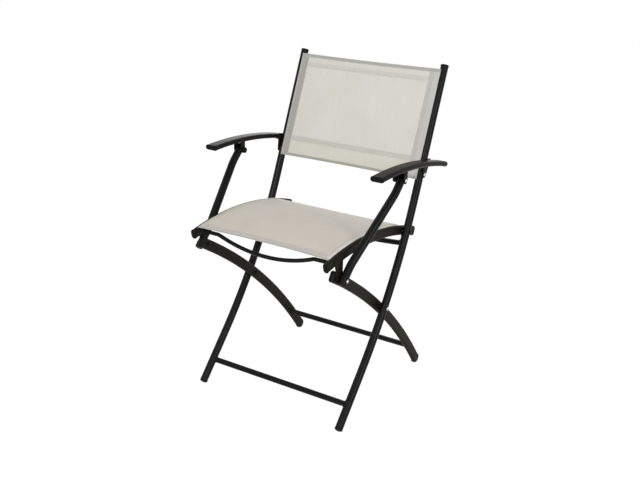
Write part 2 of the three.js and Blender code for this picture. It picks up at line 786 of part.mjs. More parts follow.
function hookNotch(reach) {
  const ratio = flipAngle / foldAngle;
  const leg = { y: frontPivot.z - scissor.z, z: scissor.y - frontPivot.y };
  const seat = { y: (frontPivot.z - seatPivot.z) * ratio, z: (seatPivot.y - frontPivot.y) * ratio };
  const way = Math.atan2(leg.z - seat.z, leg.y - seat.y);
  const radius = boltRadius + boltPlay;
  const shape = new THREE.Shape();
  const start = { ...frontPivot, heading: way };
  const mouth = off(start, 2 * hookRound, -radius);
  shape.moveTo(mouth.y, mouth.z);
  const other = off(start, 2 * hookRound, radius);
  shape.lineTo(other.y, other.z);
  shape.absarc(frontPivot.y, frontPivot.z, radius, way + upright, way + 3 * upright);
  shape.closePath();
  return [sidePlate(shape, -reach, reach, tubeQuarters)];
}

// The seat cloth's section, seen along the rail: a taut panel from rail to rail that turns down into
// the slots of both, and ends in a bead inside each rail.
function seatSection() {
  const dy = railTall / 2 - ovalWide / 2;
  const s = Math.sin(seatSlotTurn);
  const c = Math.cos(seatSlotTurn);
  const half = clothThick / 2;
  const spot = (r, w) => [innerPlane - r * s + w * c, dy + r * c + w * s];
  const low = dy + (ovalWide / 2 + clothPlay) * c + (slotWide / 2) * s;
  const atHeight = (b, w) => spot((b - dy - w * s) / c, w);
  const open = Math.asin(half / beadRadius);
  const bead = [];
  const count = 4 * clothQuarters;
  for (let i = 0; i <= count; i += 1) {
    const a = open + (2 * Math.PI - 2 * open) * i / count;
    bead.push(spot(seatBeadDepth + beadRadius * Math.cos(a), beadRadius * Math.sin(a)));
  }
  const points = [atHeight(low + clothThick, half), ...bead, atHeight(low, -half)];
  const mirrored = points.map(([a, b]) => [-a, b]).reverse();
  return outline([...points, ...mirrored]);
}

function seatSling() {
  const front = -(railFrontLength - seatClothFront);
  const path = arcPath(0, railArc, front, -seatClothRear, railArcRadius, clothSteps);
  const geometry = sweep(seatSection(), path, clothQuarters);
  add('seat_sling', geometry, slingCloth);
}

// Arms.
const earInner = tubeRadius + fitGap;
const armInset = earInner + plate + weldGap;
const armPlane = frameHalfWidth + armInset + armWide / 2;
const armOverPivot = { y: armPivot.y, z: armPivot.z + armAbovePivot, heading: -armSlope };
const armArc = (distance) => onArc(armOverPivot, armArcRadius, distance);
const armUnder = -(armThick / 2 + weldGap);

function armLine(x) {
  return arcPath(x, armArc, -armAheadPivot, armBehindPivot, armArcRadius, armSteps);
}

function armrest(side) {
  const x = side * armPlane;
  const line = armLine(x);
  const name = sideName(side);
  add(`armrest_${name}`, sweep(ovalShape(armWide, armThick, armWall), line, ovalQuarters), tubePaint);
  const tip = along(line, 0);
  const nose = add(`arm_front_cap_${name}`, flatCap(armWide, armThick, armWall, capThick), blackPlastic);
  aim(nose, vec(x, tip), headingVector(tip, -1));
  const end = along(line, line.total);
  const tail = add(`arm_rear_cap_${name}`, flatCap(armWide, armThick, armWall, capThick), blackPlastic);
  aim(tail, vec(x, end), headingVector(end));
}

function mirroredPair(name, side, geometry, material) {
  if (side < 0) geometry.applyMatrix4(new THREE.Matrix4().makeScale(-1, 1, 1));
  const facing = side < 0 ? turnedOut(geometry) : geometry;
  facing.computeVertexNormals();
  return add(`${name}_${sideName(side)}`, facing, material);
}

// The arm's inner plate: a gusset beside the arm that narrows to its pivot on the post, with a shelf
// turned out under the arm.
function armEar(side) {
  const top = armThick / 2 + earOverArm;
  const shape = tongue(off(armArc(-earFront), 0, top), off(armArc(earRear), 0, top), armPivot, earRound);
  const x0 = frameHalfWidth + earInner;
  const ear = sidePlate(shape, x0, x0 + plate, tubeQuarters);
  const middle = (earRear - earFront) / 2;
  const front = armArc(middle - shelfLong / 2);
  const rear = armArc(middle + shelfLong / 2);
  const shelfShape = slab(front, rear, armUnder, armUnder - plate);
  const shelf = sidePlate(shelfShape, x0 + plate / 2, x0 + plate + shelfWide);
  const hole = drill(armPivot, 1, x0 - plate, x0 + 2 * plate);
  mirroredPair('arm_pivot_bracket', side, cut(join(ear, shelf), hole), ovalPaint);
}

// The forked bracket under the arm that holds the strut's top end.
function armClevis(side) {
  const middle = armArc(-strutPivotAhead);
  const front = off(middle, -clevisWide / 2, armUnder);
  const rear = off(middle, clevisWide / 2, armUnder);
  const shape = tongue(front, rear, strutPivot, clevisRound);
  const plane = frameHalfWidth + strutTopPlane;
  const gap = strutRadius + clevisPlay;
  const inner = sidePlate(shape, plane - gap - plate, plane - gap, tubeQuarters);
  const outer = sidePlate(shape, plane + gap, plane + gap + plate, tubeQuarters);
  const webFront = off(middle, -clevisWide / 2, 0);
  const webRear = off(middle, clevisWide / 2, 0);
  const webShape = slab(webFront, webRear, armUnder, armUnder - plate);
  const web = sidePlate(webShape, plane - gap - plate, plane + gap + plate);
  const hole = drill(strutPivot, 1, plane - 2 * gap, plane + 2 * gap);
  mirroredPair('strut_bracket', side, cut(join(inner, web, outer), hole), ovalPaint);
}

// The bolt through fork and strut: a bright head outside, a black knob on the inner end.
function strutBolt(side) {
  const name = sideName(side);
  const plane = frameHalfWidth + strutTopPlane;
  const cheek = strutRadius + clevisPlay + plate;
  const outer = plane + cheek + fitGap;
  const inner = plane - cheek - fitGap;
  const tail = knobHigh / 2;
  const length = outer - inner + tail;
  const profile = [
    [0, 0], [boltRadius, 0], [boltRadius, length], [headRadius, length],
    [headRadius * 2 / 3, length + headHigh * 3 / 4], [0, length + headHigh],
  ];
  const geometry = turned(profile, ovalQuarters);
  geometry.rotateZ(-upright);
  const mesh = add(`strut_bolt_${name}`, geometry, zincSteel);
  mesh.position.set(side * (inner - tail), strutPivot.y, strutPivot.z);
  if (side < 0) mesh.rotation.z = Math.PI;
  const bore = boltRadius + fitGap;
  const cup = [
    [0, tail + fitGap], [bore, tail + fitGap], [bore, 0], [knobRadius * knobRootShare, 0],
    [knobRadius, knobHigh / 4], [knobRadius, knobHigh * 3 / 4],
    [knobRadius * knobFaceShare, knobHigh], [0, knobHigh],
  ];
  const cupShape = turned(cup, ovalQuarters);
  cupShape.rotateZ(upright);
  const knob = add(`strut_knob_${name}`, solidFacing(cupShape), blackPlastic);
  knob.position.set(side * inner, strutPivot.y, strutPivot.z);
  if (side < 0) knob.rotation.z = Math.PI;
}

// Turns a turned shape's surface outwards if its profile was drawn the other way.
function solidFacing(geometry) {
  const flat = geometry.toNonIndexed();
  const p = flat.attributes.position;
  let volume = 0;
  for (let i = 0; i < p.count; i += 3) {
    const a = new THREE.Vector3().fromBufferAttribute(p, i);
    const b = new THREE.Vector3().fromBufferAttribute(p, i + 1);
    const c = new THREE.Vector3().fromBufferAttribute(p, i + 2);
    volume += a.dot(b.cross(c));
  }
  const facing = volume < 0 ? turnedOut(flat) : flat;
  facing.computeVertexNormals();
  return facing;
}

// Struts.
// The strut is cranked: its foot lies beside the rear leg, its top lies further out, under the arm.
function strut(side) {
  const rise = new THREE.Vector3(0, strutPivot.y - frontPivot.y, strutPivot.z - frontPivot.z);
  const reach = rise.length();
  const way = rise.clone().normalize();
  const sideways = new THREE.Vector3(side, 0, 0);
  const shift = strutTopPlane - strutFootPlane;
  const middle = reach - 2 * strutEndLength;
  const lean = Math.atan2(shift, middle);
  const tangent = strutBendLength / lean * Math.tan(lean / 2);
  const origin = vec(side * (frameHalfWidth + strutFootPlane), frontPivot);
  origin.addScaledVector(way, -strutOverrun);
  const end = strutOverrun + strutEndLength - tangent;
  const path = new BentPath(origin, way, sideways, 0, [
    { length: end },
    { length: strutBendLength, turn: lean, steps: bendSteps },
    { length: middle / Math.cos(lean) - 2 * tangent },
    { length: strutBendLength, turn: -lean, steps: bendSteps },
    { length: end },
  ]);
  const bar = sweep(roundShape(strutRadius, strutWall), path, tubeQuarters * 2);
  const foot = frameHalfWidth + strutFootPlane;
  const top = frameHalfWidth + strutTopPlane;
  const holes = [
    drill(frontPivot, side, foot - 2 * strutRadius, foot + 2 * strutRadius),
    drill(strutPivot, side, top - 2 * strutRadius, top + 2 * strutRadius),
  ];
  add(`strut_${sideName(side)}`, cut(bar, ...holes), tubePaint);
}

// The strut's lower pivot bolt. It ends at the strut's inner side, so that the strut can ride on the arm.
function strutFootBolt(side) {
  const outer = frameHalfWidth + strutFootPlane + strutRadius + fitGap;
  const inner = frameHalfWidth + strutFootPlane - strutRadius;
  const length = outer - inner;
  const profile = [
    [0, 0], [boltRadius, 0], [boltRadius, length], [headRadius, length],
    [headRadius * 2 / 3, length + headHigh * 3 / 4], [0, length + headHigh],
  ];
  const geometry = turned(profile, ovalQuarters);
  geometry.rotateZ(-upright);
  const mesh = add(`strut_foot_bolt_${sideName(side)}`, geometry, zincSteel);
  mesh.position.set(side * inner, frontPivot.y, frontPivot.z);
  if (side < 0) mesh.rotation.z = Math.PI;
}

// The chair.
frontCrossbar();
backSling();
rearCrossbar();
frontRod();
rearRod();
seatSling();
for (const side of [-1, 1]) {
  sideTube(side);
  postCap(side);
  footCap(side);
  mainBolts(side);
  rearLeg(side);
  legNoseCap(side);
  rearFootCap(side);
  frontPivotPin(side);
  seatRail(side);
  railCaps(side);
  hookPlate(side);
  armrest(side);
  armEar(side);
  armClevis(side);
  strutBolt(side);
  strut(side);
  strutFootBolt(side);
}

export default chair;
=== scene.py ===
import json
import math

import bmesh
import bpy
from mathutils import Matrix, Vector, noise


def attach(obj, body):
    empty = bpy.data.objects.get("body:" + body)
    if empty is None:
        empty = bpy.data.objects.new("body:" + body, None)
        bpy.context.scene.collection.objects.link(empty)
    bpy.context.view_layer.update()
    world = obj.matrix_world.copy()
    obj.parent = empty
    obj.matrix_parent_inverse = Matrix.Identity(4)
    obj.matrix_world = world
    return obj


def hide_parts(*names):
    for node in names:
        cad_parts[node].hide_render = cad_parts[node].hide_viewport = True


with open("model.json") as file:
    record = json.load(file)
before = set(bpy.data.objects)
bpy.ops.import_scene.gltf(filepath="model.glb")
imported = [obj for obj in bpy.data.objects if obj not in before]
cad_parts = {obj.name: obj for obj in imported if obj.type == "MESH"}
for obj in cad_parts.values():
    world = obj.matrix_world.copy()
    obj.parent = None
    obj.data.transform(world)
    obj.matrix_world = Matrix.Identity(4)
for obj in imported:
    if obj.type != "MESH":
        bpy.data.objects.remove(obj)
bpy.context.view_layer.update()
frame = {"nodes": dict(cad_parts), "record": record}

scene = bpy.context.scene
rad = math.radians
MM = 0.001
UP = math.pi / 2
X, Y, Z = Vector((1, 0, 0)), Vector((0, 1, 0)), Vector((0, 0, 1))
SIDES = (-1, 1)

# Shapes are in millimetres and degrees. The sizes of bars, joints and cap lips are the same as the solids'.
GAP = 0.3                 # between pieces that touch
PLATE = 2.0               # brackets and hook plates

# The main tubes, measured along the tube from the foot.
HALF = 234.8              # from the middle plane to a tube's centre line
TUBE_R = 11.0
FOOT_Y = -249.8
FOOT_LEAN = 42.2
BACK_LEAN = 23.2
LEG_STRAIGHT = 155.6
LEG_BEND = 517.6
POST_STRAIGHT = 364.3
FRONT_BAR_AT = 67.0
SCISSOR_AT = 349.9
SEAT_PIVOT_AT = 570.5
ARM_PIVOT_AT = 735.2
CROSSBAR_R = 8.0
SPACER = 1.7              # washers between the tubes and the oval bars

# The rear legs, measured along their arc from the scissor bolt.
OVAL_W = 13.5
OVAL_T = 30.5
LEG_ARC_R = 1524.0
LEG_SLOPE = 41.9
FRONT_PIVOT_AT = 261.9
LEG_NOSE = 24.4
REAR_BAR_AT = 277.5
FOOT_FLAT = 2.4
REAR_FOOT_FLAT = 0.8

# The seat's rails, measured along their arc from the seat pivot, and the rods under the cloth.
RAIL_T = 27.5
RAIL_ARC_R = 806.0
RAIL_REAR = 71.3
HOOK_AHEAD = 3.5
HOOK_ABOVE = 53.3
HOOK_FROM_NOSE = 45.4
FRONT_ROD_R = 5.5
FRONT_ROD_AHEAD = 13.5
FRONT_ROD_DROP = 5.8
FRONT_ROD_SHOULDER = 46.4
FRONT_ROD_BOW = 29.0
FRONT_ROD_BEND = 30.0
REAR_ROD_R = 7.5
REAR_ROD_AT = 21.8
REAR_ROD_DROP = 41.4
REAR_ROD_BOW = 8.4
REAR_ROD_BEND = 20.0
REAR_ROD_LET_IN = 1.2     # how far its ends reach into the rails

# The armrests, measured along their arc from over the arm pivot, and the struts.
ARM_W = 39.0
ARM_T = 14.0
ARM_ABOVE = 36.3
ARM_SLOPE = 12.9
ARM_ARC_R = 1110.0
ARM_BEHIND = 58.6
ARM_AHEAD = 290.7
STRUT_R = 11.0
STRUT_AHEAD = 167.8
STRUT_ABOVE = 30.8
STRUT_TOP_PLANE = 33.4
STRUT_END = 43.6
STRUT_OVER = 12.1
STRUT_BEND = 24.0

# Caps.
CAP_LIP = 0.5
CAP_THICK = 5.0
QUARTER = [rad(t) for t in (18, 36, 54, 72, 90)]

# Slots and cloths. A turn is how far a cloth's edge leans inwards, from straight forward or straight up.
SLOT_HALF = 1.3
CLOTH_PLAY = 0.4          # between a cloth and the bar that it runs over
CLOTH_HALF = 0.5          # half the thickness of one layer
LAYER = 0.42              # what each further layer adds
STITCH_PITCH = 4.2
BACK_LONG = 311.1
BACK_DOWN = 9.9
BACK_TURN = 20.0
BACK_HEM = 25.0
BACK_LIFT = 1.3           # from the play over the tube to the cloth's middle line
BACK_EDGE_AT = 6.0        # from the tube's middle to where the cloth's edge ends inside it
BACK_NECK_R = 3.4         # the bend between the panel and its neck
SEAT_FRONT = 14.0
SEAT_REAR = 12.0
SEAT_TURN = 30.0
SEAT_HEM = 24.0
SEAT_SIDE_HEM = 20.0
SEAT_EDGE_AT = 2.0
SEAT_NECK_R = 1.6


class Line:
    """A bent bar's centre line in one plane: straight and evenly bent runs, one after the other."""

    def __init__(self, origin, along, across, heading, runs):
        self.origin, self.along, self.across = Vector(origin), Vector(along), Vector(across)
        self.heading, self.runs = heading, runs
        self.total = sum(length for length, _ in runs)

    def spot(self, d):
        a = b = 0.0
        h = self.heading
        left = d
        for i, (length, turn) in enumerate(self.runs):
            go = left if i == len(self.runs) - 1 else min(left, length)
            k = turn / length
            half = k * go / 2
            chord = go if abs(half) < 1e-12 else go * math.sin(half) / half
            a += chord * math.cos(h + half)
            b += chord * math.sin(h + half)
            h += k * go
            left -= go
            if left <= 0:
                break
        return a, b, h

    def frame(self, d):
        a, b, h = self.spot(d)
        point = self.origin + self.along * a + self.across * b
        ahead = self.along * math.cos(h) + self.across * math.sin(h)
        normal = self.across * math.cos(h) - self.along * math.sin(h)
        return point, ahead, normal

    def places(self, start=0.0, end=None, fine=2.0, long=40.0):
        """Distances along the line: at most fine degrees apart in bends, and long millimetres elsewhere."""
        end = self.total if end is None else end
        marks, at = [], 0.0
        for length, turn in self.runs:
            n = max(1, math.ceil(abs(math.degrees(turn)) / fine), math.ceil(length / long))
            marks += [at + length * i / n for i in range(n + 1)]
            at += length
        marks = sorted(m for m in marks if start < m < end)
        kept = [m for i, m in enumerate(marks)
                if m - start > 0.2 and end - m > 0.2 and (i == 0 or m - marks[i - 1] > 0.05)]
        return [start] + kept + [end]

    def places_close_at_ends(self, steps, start=0.0, fine=1.5):
        """The same, with more of them at these distances from both ends."""
        inner = self.places(start, self.total - start, fine)
        return sorted(set(inner + [d for t in steps for d in (t, self.total - t)]))


def side_line(x, y, z, heading, runs):
    return Line((x, y, z), Y, Z, heading, runs)


def on_arc(start, radius, d):
    """The place (y, z, heading) that lies d along an arc that falls away from start."""
    y, z, h = start
    half = -d / radius / 2
    chord = d if abs(half) < 1e-12 else d * math.sin(half) / half
    return (y + chord * math.cos(h + half), z + chord * math.sin(h + half), h - d / radius)


# The shared side view: places are (y, z) or (y, z, heading).
foot_lean, back_lean = rad(FOOT_LEAN), rad(BACK_LEAN)
cap_r = TUBE_R + CAP_LIP
foot_rise = (CAP_THICK + GAP) * math.cos(foot_lean) + cap_r * math.sin(foot_lean) - FOOT_FLAT
TUBE_RUNS = [(LEG_STRAIGHT, 0.0), (LEG_BEND, foot_lean - back_lean), (POST_STRAIGHT, 0.0)]


def tube_line(x):
    return side_line(x, FOOT_Y, foot_rise, UP - foot_lean, TUBE_RUNS)


def tube_spot(d):
    a, b, h = tube_line(0).spot(d)
    return (FOOT_Y + a, foot_rise + b, h)


TUBE_LONG = sum(length for length, _ in TUBE_RUNS)
scissor = tube_spot(SCISSOR_AT)
seat_pivot = tube_spot(SEAT_PIVOT_AT)
arm_pivot = tube_spot(ARM_PIVOT_AT)
front_bar = tube_spot(FRONT_BAR_AT)
inner_plane = HALF - TUBE_R - SPACER - 2 * GAP - OVAL_W / 2
oval_inner = inner_plane - OVAL_W / 2

leg_at = (scissor[0], scissor[1], -rad(LEG_SLOPE))
front_pivot = on_arc(leg_at, LEG_ARC_R, -FRONT_PIVOT_AT)
leg_front = -(FRONT_PIVOT_AT + LEG_NOSE)
leg_centre_z = scissor[1] - LEG_ARC_R * math.cos(rad(LEG_SLOPE))
leg_rear = LEG_ARC_R * (math.acos((OVAL_T / 2 - REAR_FOOT_FLAT - leg_centre_z) / LEG_ARC_R) - rad(LEG_SLOPE))

hook_spot = (front_pivot[0] - HOOK_AHEAD, front_pivot[1] + HOOK_ABOVE)
hook_way = (seat_pivot[0] - hook_spot[0], seat_pivot[1] - hook_spot[1])
half_angle = math.asin(math.hypot(*hook_way) / (2 * RAIL_ARC_R))
rail_to_hook = 2 * RAIL_ARC_R * half_angle
rail_front = rail_to_hook + HOOK_FROM_NOSE
rail_at = (seat_pivot[0], seat_pivot[1], math.atan2(hook_way[1], hook_way[0]) - half_angle)
hook_outer = inner_plane + OVAL_W / 2 + GAP + PLATE

arm_over = (arm_pivot[0], arm_pivot[1] + ARM_ABOVE, -rad(ARM_SLOPE))
arm_plane = HALF + TUBE_R + GAP + PLATE + GAP + ARM_W / 2
strut_pivot = (arm_pivot[0] - STRUT_AHEAD, arm_pivot[1] + STRUT_ABOVE)
strut_foot_plane = hook_outer + GAP + STRUT_R - HALF


def leg_spot(d):
    return on_arc(leg_at, LEG_ARC_R, d)


def rail_spot(d):
    return on_arc(rail_at, RAIL_ARC_R, d)


def arm_spot(d):
    return on_arc(arm_over, ARM_ARC_R, d)


def arc_line(x, spot_at, start, end, radius):
    y, z, h = spot_at(start)
    return side_line(x, y, z, h, [(end - start, -(end - start) / radius)])


def bar_end(x, spot, sign):
    """The end of a bar as a point, and the way out of it."""
    y, z, h = spot
    return Vector((x, y, z)), Vector((0, math.cos(h), math.sin(h))) * sign


def side_name(side):
    return "left" if side > 0 else "right"


# Outlines and meshes.
def turns(n):
    return [2 * math.pi * i / n for i in range(n)]


def circle(radius, n=36):
    return [(radius * math.cos(a), radius * math.sin(a)) for a in turns(n)]


def oval(wide, tall, n=12):
    """A flat oval: two half circles and two straight sides, n steps to a quarter."""
    r = min(wide, tall) / 2
    dx, dy = wide / 2 - r, tall / 2 - r
    out = []
    for q, (cx, cy) in enumerate([(dx, dy), (-dx, dy), (-dx, -dy), (dx, -dy)]):
        for i in range(n + 1):
            a = UP * (q + i / n)
            p = (cx + r * math.cos(a), cy + r * math.sin(a))
            if not out or math.dist(p, out[-1]) > 1e-3:
                out.append(p)
    if math.dist(out[0], out[-1]) < 1e-3:
        out.pop()
    return out


def slot_floor(angle, radius, half, high=0.0):
    """The two corners of a slot's floor: radius out from the middle at that angle, half to either side."""
    c, s = math.cos(angle), math.sin(angle)
    return [(c * radius - s * t, high + s * radius + c * t) for t in (-half, half)]


class Build:
    """Collects points in millimetres and faces, and makes one object of them."""

    def __init__(self):
        self.v, self.f, self.uv, self.mat = [], [], {}, []

    def face(self, f, mat=0):
        self.f.append(f)
        self.mat.append(mat)

    def add(self, rings, mat=0):
        """Rings of as many points each, joined by quads, with a face over the first and the last."""
        base, n = len(self.v), len(rings[0])
        for points in rings:
            self.v += [tuple(p) for p in points]
        for i in range(len(rings) - 1):
            for j in range(n):
                a, b = base + i * n + j, base + i * n + (j + 1) % n
                self.face((a, b, b + n, a + n), mat)
        last = base + (len(rings) - 1) * n
        self.face(tuple(range(base, base + n)), mat)
        self.face(tuple(range(last + n - 1, last - 1, -1)), mat)

    def make(self, name, body, materials, slot, nodes=(), angle=32.0, weld=True):
        mesh = bpy.data.meshes.new(name)
        mesh.from_pydata([(p[0] * MM, p[1] * MM, p[2] * MM) for p in self.v], [], self.f)
        mesh.polygons.foreach_set("material_index", self.mat)
        for m in materials:
            mesh.materials.append(m)
        if self.uv:
            layer = mesh.uv_layers.new(name="flat")
            for loop in mesh.loops:
                u, v = self.uv[loop.vertex_index]
                layer.data[loop.index].uv = (u * MM, v * MM)
        bm = bmesh.new()
        bm.from_mesh(mesh)
        if weld:
            bmesh.ops.remove_doubles(bm, verts=bm.verts, dist=1e-6)
        bmesh.ops.recalc_face_normals(bm, faces=bm.faces)
        bm.to_mesh(mesh)
        bm.free()
        mesh.polygons.foreach_set("use_smooth", [True] * len(mesh.polygons))
        mesh.set_sharp_from_angle(angle=rad(angle))
        obj = bpy.data.objects.new(name, mesh)
        scene.collection.objects.link(obj)
        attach(obj, body)
        if nodes:
            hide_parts(*nodes)
        return obj


def ring(point, right, up, section):
    return [point + right * u + up * v for u, v in section]


def sweep_rings(line, section, places, right=X):
    """A section, or a function of the distance that gives one, at each place along a line."""
    rings = []
    for d in places:
        point, _, normal = line.frame(d)
        rings.append(ring(point, right, normal, section(d) if callable(section) else section))
    return rings


def turned(build, origin, out, profile, n=24, mat=0):
    """A lathe: profile is a list of (radius, height) along out, from one end on the axis to the other."""
    right, up = (Y, Z) if abs(out.dot(X)) > 0.9 else (X, out.cross(X).normalized())
    build.add([ring(origin + out * h, right, up, circle(max(r, 1e-4), n)) for r, h in profile], mat)


# Materials.
def set_inputs(nt, n, inputs):
    """Sets each input of a node, by name or number, to a value, or links it to another node's output."""
    for key, value in inputs.items():
        if isinstance(value, bpy.types.NodeSocket):
            nt.links.new(value, n.inputs[key])
        else:
            n.inputs[key].default_value = value


def add_node(nt, kind, inputs, **settings):
    n = nt.nodes.new("ShaderNode" + kind)
    for key, value in settings.items():
        setattr(n, key, value)
    set_inputs(nt, n, inputs)
    return n


def new_material(name):
    m = bpy.data.materials.new(name)
    m.use_nodes = True
    return m, m.node_tree, m.node_tree.nodes["Principled BSDF"]


def object_coords(nt):
    return add_node(nt, "TexCoord", {}).outputs["Object"]


def math_node(nt, op, *values):
    return add_node(nt, "Math", dict(enumerate(values)), operation=op).outputs[0]


def noise_at(nt, coords, scale, detail=2.0, rough=0.55):
    inputs = {"Vector": coords, "Scale": scale, "Detail": detail, "Roughness": rough}
    return add_node(nt, "TexNoise", inputs).outputs["Fac"]


def ramp(nt, fac, stops):
    """Colours (position, colour) along a value."""
    r = add_node(nt, "ValToRGB", {"Fac": fac})
    el = r.color_ramp.elements
    el[0].position, el[1].position = stops[0][0], stops[-1][0]
    el[0].color, el[1].color = (*stops[0][1], 1), (*stops[-1][1], 1)
    for position, color in stops[1:-1]:
        el.new(position).color = (*color, 1)
    return r.outputs["Color"]


def span(nt, value, lo, hi, out_lo, out_hi):
    """Takes lo to out_lo and hi to out_hi, and goes no further."""
    inputs = {"Value": value, "From Min": lo, "From Max": hi, "To Min": out_lo, "To Max": out_hi}
    return add_node(nt, "MapRange", inputs).outputs["Result"]


def soft_step(nt, value, edge, soft):
    """Nought below the edge and one above it, with a soft step between."""
    inputs = {"Value": value, "From Min": edge - soft, "From Max": edge + soft}
    return add_node(nt, "MapRange", inputs, interpolation_type="SMOOTHSTEP").outputs["Result"]


def band(nt, value, lo, hi, soft):
    """One between lo and hi, nought elsewhere, with soft ends."""
    past = math_node(nt, "SUBTRACT", 1.0, soft_step(nt, value, hi, soft))
    return math_node(nt, "MULTIPLY", soft_step(nt, value, lo, soft), past)


def mix_color(nt, factor, a, b, blend="MIX"):
    inputs = {"Factor": factor, "A": a, "B": b}
    return add_node(nt, "Mix", inputs, data_type="RGBA", blend_type=blend).outputs["Result"]


def bump(nt, height, strength, distance):
    inputs = {"Height": height, "Strength": strength, "Distance": distance}
    return add_node(nt, "Bump", inputs).outputs["Normal"]


def shade(color, k):
    return tuple(c * k for c in color)


def powder_coat(name, color, rough, texture=1.0, gloss=0.06):
    """Satin powder coat: fine orange peel, faint clouding, a few paler rubbed places."""
    m, nt, bsdf = new_material(name)
    co = object_coords(nt)
    cloud = noise_at(nt, co, 14.0, 3.0)
    grain = noise_at(nt, co, 900.0)
    rub = noise_at(nt, co, 55.0, 6.0, 0.7)
    base = ramp(nt, cloud, [(0.3, shade(color, 0.86)), (0.55, color), (0.75, shade(color, 1.16))])
    worn = math_node(nt, "MULTIPLY", ramp(nt, rub, [(0.62, (0, 0, 0)), (0.78, (1, 1, 1))]), 0.22)
    uneven = math_node(nt, "ADD", math_node(nt, "MULTIPLY", grain, 0.5), math_node(nt, "MULTIPLY", rub, 0.5))
    set_inputs(nt, bsdf, {
        "Base Color": mix_color(nt, worn, base, (*shade(color, 2.1), 1)),
        "Roughness": span(nt, uneven, 0.3, 0.7, rough - 0.06, rough + 0.08),
        "Normal": bump(nt, grain, 0.35 * texture, 0.0003),
        "Specular IOR Level": gloss,
    })
    return m


def moulded(name, color, rough):
    """Matt moulded plastic, a little scuffed."""
    m, nt, bsdf = new_material(name)
    co = object_coords(nt)
    grain = noise_at(nt, co, 1400.0)
    scuff = noise_at(nt, co, 120.0, 5.0, 0.7)
    set_inputs(nt, bsdf, {
        "Base Color": ramp(nt, scuff, [(0.35, shade(color, 0.85)), (0.6, color), (0.85, shade(color, 1.8))]),
        "Roughness": span(nt, scuff, 0.3, 0.75, rough - 0.05, rough + 0.12),
        "Normal": bump(nt, grain, 0.3, 0.0002),
        "Specular IOR Level": 0.08,
    })
    return m


def zinc(name):
    """Bright zinc plate with a fine spangle."""
    m, nt, bsdf = new_material(name)
    co = object_coords(nt)
    spangle = noise_at(nt, co, 420.0, 4.0, 0.65)
    turning = noise_at(nt, co, 2500.0)
    set_inputs(nt, bsdf, {
        "Base Color": ramp(nt, spangle, [(0.3, (0.42, 0.42, 0.41)), (0.7, (0.68, 0.68, 0.66))]),
        "Roughness": span(nt, spangle, 0.3, 0.7, 0.24, 0.42),
        "Normal": bump(nt, turning, 0.25, 0.0001),
        "Metallic": 1.0,
    })
    return m


def woven(name, color, bands, pitch=1.3):
    """Woven coated mesh: two sets of round yarns that pass over and under, laid along the sheet's own flat
    sizes. bands are (axis, lo, hi, soft, colour), in millimetres. Axis s is across from the middle line, u
    the same outwards either way, and v along the sheet. A later band covers an earlier one."""
    m, nt, bsdf = new_material(name)
    uv = add_node(nt, "UVMap", {}, uv_map="flat").outputs["UV"]
    across, along, _ = add_node(nt, "SeparateXYZ", {0: uv}).outputs
    waves = [math_node(nt, "SINE", math_node(nt, "MULTIPLY", at, math.pi / (pitch * MM)))
             for at in (across, along)]
    yarns = math_node(nt, "MAXIMUM", *[math_node(nt, "ABSOLUTE", w) for w in waves])
    # the yarn on top shows its round back, the one below dips between its neighbours
    height = math_node(nt, "ADD", math_node(nt, "MULTIPLY", math_node(nt, "MULTIPLY", *waves), 0.35), yarns)

    co = object_coords(nt)
    cloud = noise_at(nt, co, 6.0)
    fuzz = noise_at(nt, co, 1500.0)
    stretched = add_node(nt, "Mapping", {"Vector": uv, "Scale": (260.0, 9.0, 1.0)}).outputs[0]
    slub = noise_at(nt, stretched, 1.0)
    warm = (color[0] * 1.02, color[1] * 1.03, color[2] * 1.05)
    base = ramp(nt, cloud, [(0.3, shade(color, 0.95)), (0.5, color), (0.7, warm)])
    axes = {"s": across, "u": math_node(nt, "ABSOLUTE", across), "v": along}
    for axis, lo, hi, soft, tone in bands:
        base = mix_color(nt, band(nt, axes[axis], lo * MM, hi * MM, soft * MM), base, (*tone, 1))
    gaps, fuzzy = span(nt, yarns, 0.0, 0.75, 0.82, 1.0), span(nt, fuzz, 0.3, 0.7, 0.97, 1.03)
    dark = math_node(nt, "MULTIPLY", gaps, fuzzy)
    dark = math_node(nt, "MULTIPLY", dark, span(nt, slub, 0.3, 0.7, 0.975, 1.02))
    set_inputs(nt, bsdf, {
        "Base Color": mix_color(nt, 1.0, base, dark, "MULTIPLY"),
        "Roughness": span(nt, fuzz, 0.3, 0.7, 0.62, 0.78),
        "Normal": bump(nt, height, 0.45, 0.0004),
        "Sheen Weight": 0.10,
        "Sheen Roughness": 0.5,
        "Specular IOR Level": 0.3,
    })
    return m


def thread(name, color):
    m, nt, bsdf = new_material(name)
    twist = noise_at(nt, object_coords(nt), 3000.0)
    set_inputs(nt, bsdf, {
        "Base Color": ramp(nt, twist, [(0.3, shade(color, 0.8)), (0.7, color)]),
        "Roughness": 0.7,
        "Normal": bump(nt, twist, 0.4, 0.0002),
    })
    return m


TUBE = powder_coat("charcoal_powder_coat", (0.0050, 0.0046, 0.0045), 0.29, texture=0.6, gloss=0.10)
OVALS = powder_coat("brown_black_powder_coat", (0.0132, 0.0112, 0.0082), 0.44)
ARMS = powder_coat("arm_powder_coat", (0.0100, 0.0088, 0.0080), 0.36)
BLACK = moulded("black_moulded_plastic", (0.0045, 0.0043, 0.0046), 0.34)
ZINC = zinc("zinc_plated_steel")
DARK = moulded("blackened_steel", (0.0100, 0.0100, 0.0100), 0.35)
THREAD = thread("pale_thread", (0.60, 0.58, 0.53))


